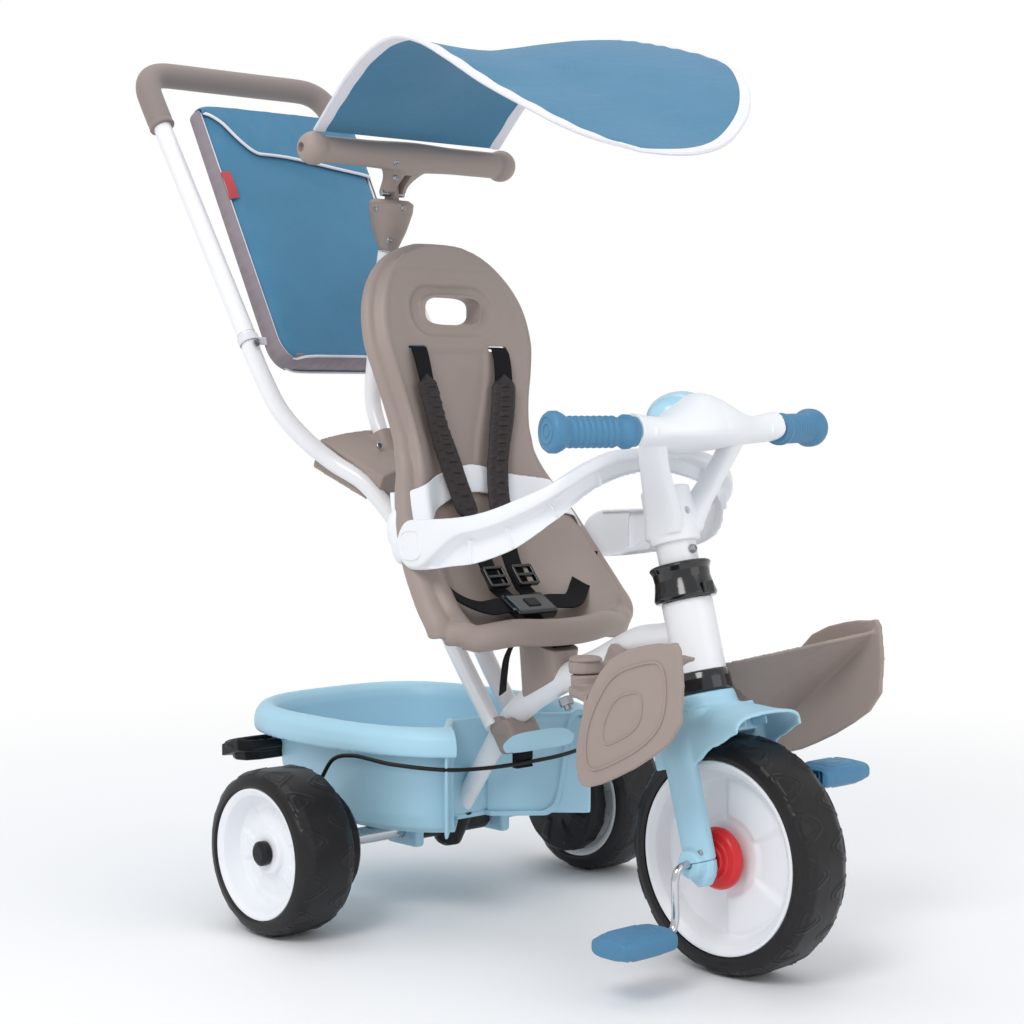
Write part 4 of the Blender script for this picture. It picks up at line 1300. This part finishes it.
# ------------------------------------------------------------------ footrests
def make_footrests():
    outline = [(-137, 292), (-168, 330), (-211, 346), (-243, 350), (-257, 345), (-258, 275), (-222, 240), (-172, 213), (-138, 200), (-122, 206), (-120, 240)]
    n = len(outline)
    cpts = [V(149, y, z) for y, z in outline]
    ring = CR(cpts + cpts[:1], closed=False)
    # rounded outline drawn from the corner list
    def smooth_outline(k=6):
        pts = []
        m = len(outline)
        for i in range(m):
            a, b, c = np.array(outline[i - 1], float), np.array(outline[i], float), np.array(outline[(i + 1) % m], float)
            for s in range(k):
                t = (s + 0.5) / k
                p0, p2 = (a + b) / 2, (b + c) / 2
                pts.append((1 - t) ** 2 * p0 + 2 * t * (1 - t) * b + t * t * p2)
        return pts
    o = smooth_outline(8); cen = np.mean(o, axis=0)
    def plate(u, v, w):
        a = u * len(o); i = int(a) % len(o); f = a - int(a)
        p = o[i] * (1 - f) + o[(i + 1) % len(o)] * f
        q = cen + (p - cen) * v
        edge = sm((v - 0.86) / 0.14); dish = -2.4 * (1 - v) ** 1.5 + 0.0
        rel = 0.0
        y, z = q
        return V(lerp(149.5, 155.0, w) + (3.0 * (1 - v * v)) * 1.0 + (1.2 * math.exp(-((v - 0.84) / 0.03) ** 2) if w else 0), y, z)
    P, F = [], []; nu, nv = len(o) * 2, 30
    for w in (0, 1):
        for j in range(nv + 1):
            for i in range(nu): P.append(plate(i / nu, max(j / nv, 1e-3), w))
    for w in (0, 1):
        b0 = w * (nv + 1) * nu
        for j in range(nv):
            for i in range(nu):
                a, b = b0 + j * nu + i, b0 + j * nu + (i + 1) % nu; q = (a, b, b + nu, a + nu)
                F.append(q if w else q[::-1])
        F.append(tuple(b0 + i for i in range(nu))[::-1] if w else tuple(b0 + i for i in range(nu)))
    for i in range(nu):
        a, b = nv * nu + i, nv * nu + (i + 1) % nu; c = (nv + 1) * nu
        F.append((a, b, b + c, a + c))
    plate_mesh = (P, F, None)
    def tread(u, v, w):
        c0 = V(150, lerp(-134, -252, v), lerp(238, 340, v)); c1 = V(lerp(52, 100, v), lerp(-118, -228, v), lerp(300, 330, v))
        p = c0 * (1 - u) + c1 * u; crease = -7 * math.exp(-((v - 0.45) / 0.10) ** 2) * (1 - u) * 0
        return p + V(0, 0, (3.0 if w else -3.0) + crease) + V(0, 0, -6 * math.sin(u * math.pi))
    knuckle = [cyl(V(80, -58, 284), V(80, -58, 312), 17, 17, 56, 3)]
    brace = [slab(10, 4, lambda u, v, w: V(lerp(80, 110, u), lerp(-66, -112, u) + (3 if w else -3), lerp(lerp(288, 284, u), lerp(308, 300, u), v)))]
    # generic raised outline on the outer plate
    loopx = []
    for a in np.linspace(0, 2 * math.pi, 72, endpoint=False):
        k = int(a / (2 * math.pi) * len(o)) % len(o); f = a / (2 * math.pi) * len(o) % 1
        p = o[k] * (1 - f) + o[(k + 1) % len(o)] * f; q = cen + (p - cen) * 0.62; loopx.append(V(156.6, q[0], q[1]))
    loopx.append(loopx[0])
    return plate_mesh, tread, knuckle, brace, loopx

for _n in ("footrest_left", "footrest_right"):
    soften(_n, M["taupe"], 1.3, 8)

def make_foot_detail():
    out = [(-145, 285), (-170, 318), (-211, 333), (-245, 338), (-246, 280), (-216, 248), (-170, 224), (-140, 212), (-130, 220), (-130, 250)]
    arr = [V(0, y, z) for y, z in out]; cen = sum(arr) / len(arr)
    def loop(k, x):
        p = [cen + (a - cen) * k for a in arr]; pts = []
        m = len(p)
        for i in range(m):
            a, b, c = p[i - 1], p[i], p[(i + 1) % m]
            for s in range(6):
                t = (s + 0.5) / 6; q = (1 - t) ** 2 * (a + b) / 2 + 2 * t * (1 - t) * b + t * t * (b + c) / 2; pts.append(V(x, q[1], q[2]))
        return pts + [pts[0]]
    for nm, f in (("left", lambda p: p), ("right", mirror)):
        piece("footrest_edge_" + nm, [f(tube(loop(0.93, 155.2), 1.5, 10)), f(tube(loop(0.45, 155.0), 1.2, 10))], M["taupe"], "footrest_" + nm + "_body")
        piece("knuckle_cap_" + nm, f(lathe(fillet([[0, 0], [17.2, 0], [17.2, 2], [14.5, 4.2], [13, 3.6], [6, 3.2], [5, 4.4], [0, 4.6]], 0.7, 4), V(80, -58, 311.6), V(0, 0, 1), 64)), M["taupe"], "footrest_" + nm + "_body")

make_foot_detail()

def cut_size(ob, length):
    """Flat width of a thin sheet: half of both faces' area over its length."""
    area = sum(p.area for p in ob.data.polygons) / 2
    return (area / length, length)

def soft(name, length, held, rests):
    ob = bpy.data.objects[name]
    cut_size(ob, length)
    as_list(rests)

soft("canopy_sheet", 0.60, "stretched", ["canopy_binding", "t_bar"])
soft("bag_front", 0.37, "hung", ["handle_tube"])
soft("bag_back", 0.37, "hung", ["handle_tube"])
soft("bag_flap", 0.236, "hung", ["bag_top"])
soft("bag_top", 0.236, "hung", ["handle_tube"])
soft("bag_gusset", 0.95, "hung", ["bag_front", "bag_back"])

_path = [tuple(((p + V(0, YS, 0)) * 0.001).tolist()) for p in CABLE_PATH]

# ------------------------------------------------------------------ floor, light
def make_stage():
    me = bpy.data.meshes.new("floor"); s = 30
    me.from_pydata([(-s, -s, 0), (s, -s, 0), (s, s, 0), (-s, s, 0)], [], [(0, 1, 2, 3)])
    fl = bpy.data.objects.new("floor", me); bpy.context.scene.collection.objects.link(fl)
    m = bpy.data.materials.new("floor_white"); m.use_nodes = True
    b = m.node_tree.nodes["Principled BSDF"]; b.inputs["Base Color"].default_value = (0.90, 0.905, 0.92, 1); b.inputs["Roughness"].default_value = 0.6; b.inputs["Specular IOR Level"].default_value = 0.25
    # the floor fades to plain white away from the object
    nt = m.node_tree; tc = nt.nodes.new("ShaderNodeTexCoord"); ln = nt.nodes.new("ShaderNodeVectorMath"); ln.operation = "LENGTH"
    mr = nt.nodes.new("ShaderNodeMapRange"); mr.interpolation_type = "SMOOTHSTEP"; mr.inputs["From Min"].default_value = 0.55; mr.inputs["From Max"].default_value = 1.9
    em = nt.nodes.new("ShaderNodeEmission"); em.inputs["Color"].default_value = (1, 1, 1, 1); em.inputs["Strength"].default_value = 1.0
    ms = nt.nodes.new("ShaderNodeMixShader")
    nt.links.new(tc.outputs["Object"], ln.inputs[0]); nt.links.new(ln.outputs["Value"], mr.inputs["Value"]); nt.links.new(mr.outputs["Result"], ms.inputs[0])
    nt.links.new(b.outputs[0], ms.inputs[1]); nt.links.new(em.outputs[0], ms.inputs[2]); nt.links.new(ms.outputs[0], nt.nodes["Material Output"].inputs["Surface"])
    me.materials.append(m)
    w = bpy.data.worlds.new("studio"); bpy.context.scene.world = w; w.use_nodes = True
    nt = w.node_tree; bg = nt.nodes["Background"]; bg.inputs["Color"].default_value = (0.97, 0.985, 1.0, 1); bg.inputs["Strength"].default_value = 0.74
    lp = nt.nodes.new("ShaderNodeLightPath"); wh = nt.nodes.new("ShaderNodeBackground"); wh.inputs["Color"].default_value = (1, 1, 1, 1); wh.inputs["Strength"].default_value = 1.0
    mx = nt.nodes.new("ShaderNodeMixShader"); nt.links.new(lp.outputs["Is Camera Ray"], mx.inputs[0]); nt.links.new(bg.outputs[0], mx.inputs[1]); nt.links.new(wh.outputs[0], mx.inputs[2]); nt.links.new(mx.outputs[0], nt.nodes["World Output"].inputs[0])
    def area(name, loc, target, size, power, col=(1, 1, 1)):
        l = bpy.data.lights.new(name, "AREA"); l.shape = "DISK"; l.size = size; l.energy = power; l.color = col
        o = bpy.data.objects.new(name, l); o.location = loc
        o.rotation_mode = "QUATERNION"; o.rotation_quaternion = (Vector(target) - Vector(loc)).to_track_quat("-Z", "Y")
        bpy.context.scene.collection.objects.link(o); l.cycles.max_bounces = 8
    area("key", (-2.6, -1.2, 2.9), (0, 0, 0.45), 1.6, 50)
    area("fill", (0.6, -3.4, 1.6), (0, 0, 0.4), 2.4, 12)
    area("top", (0.4, 0.6, 3.6), (0, 0, 0.4), 2.6, 27)
    sc = bpy.context.scene
    sc.view_settings.view_transform = "Standard"; sc.view_settings.look = "None"; sc.view_settings.exposure = 0.0; sc.view_settings.gamma = 1.0

make_stage()
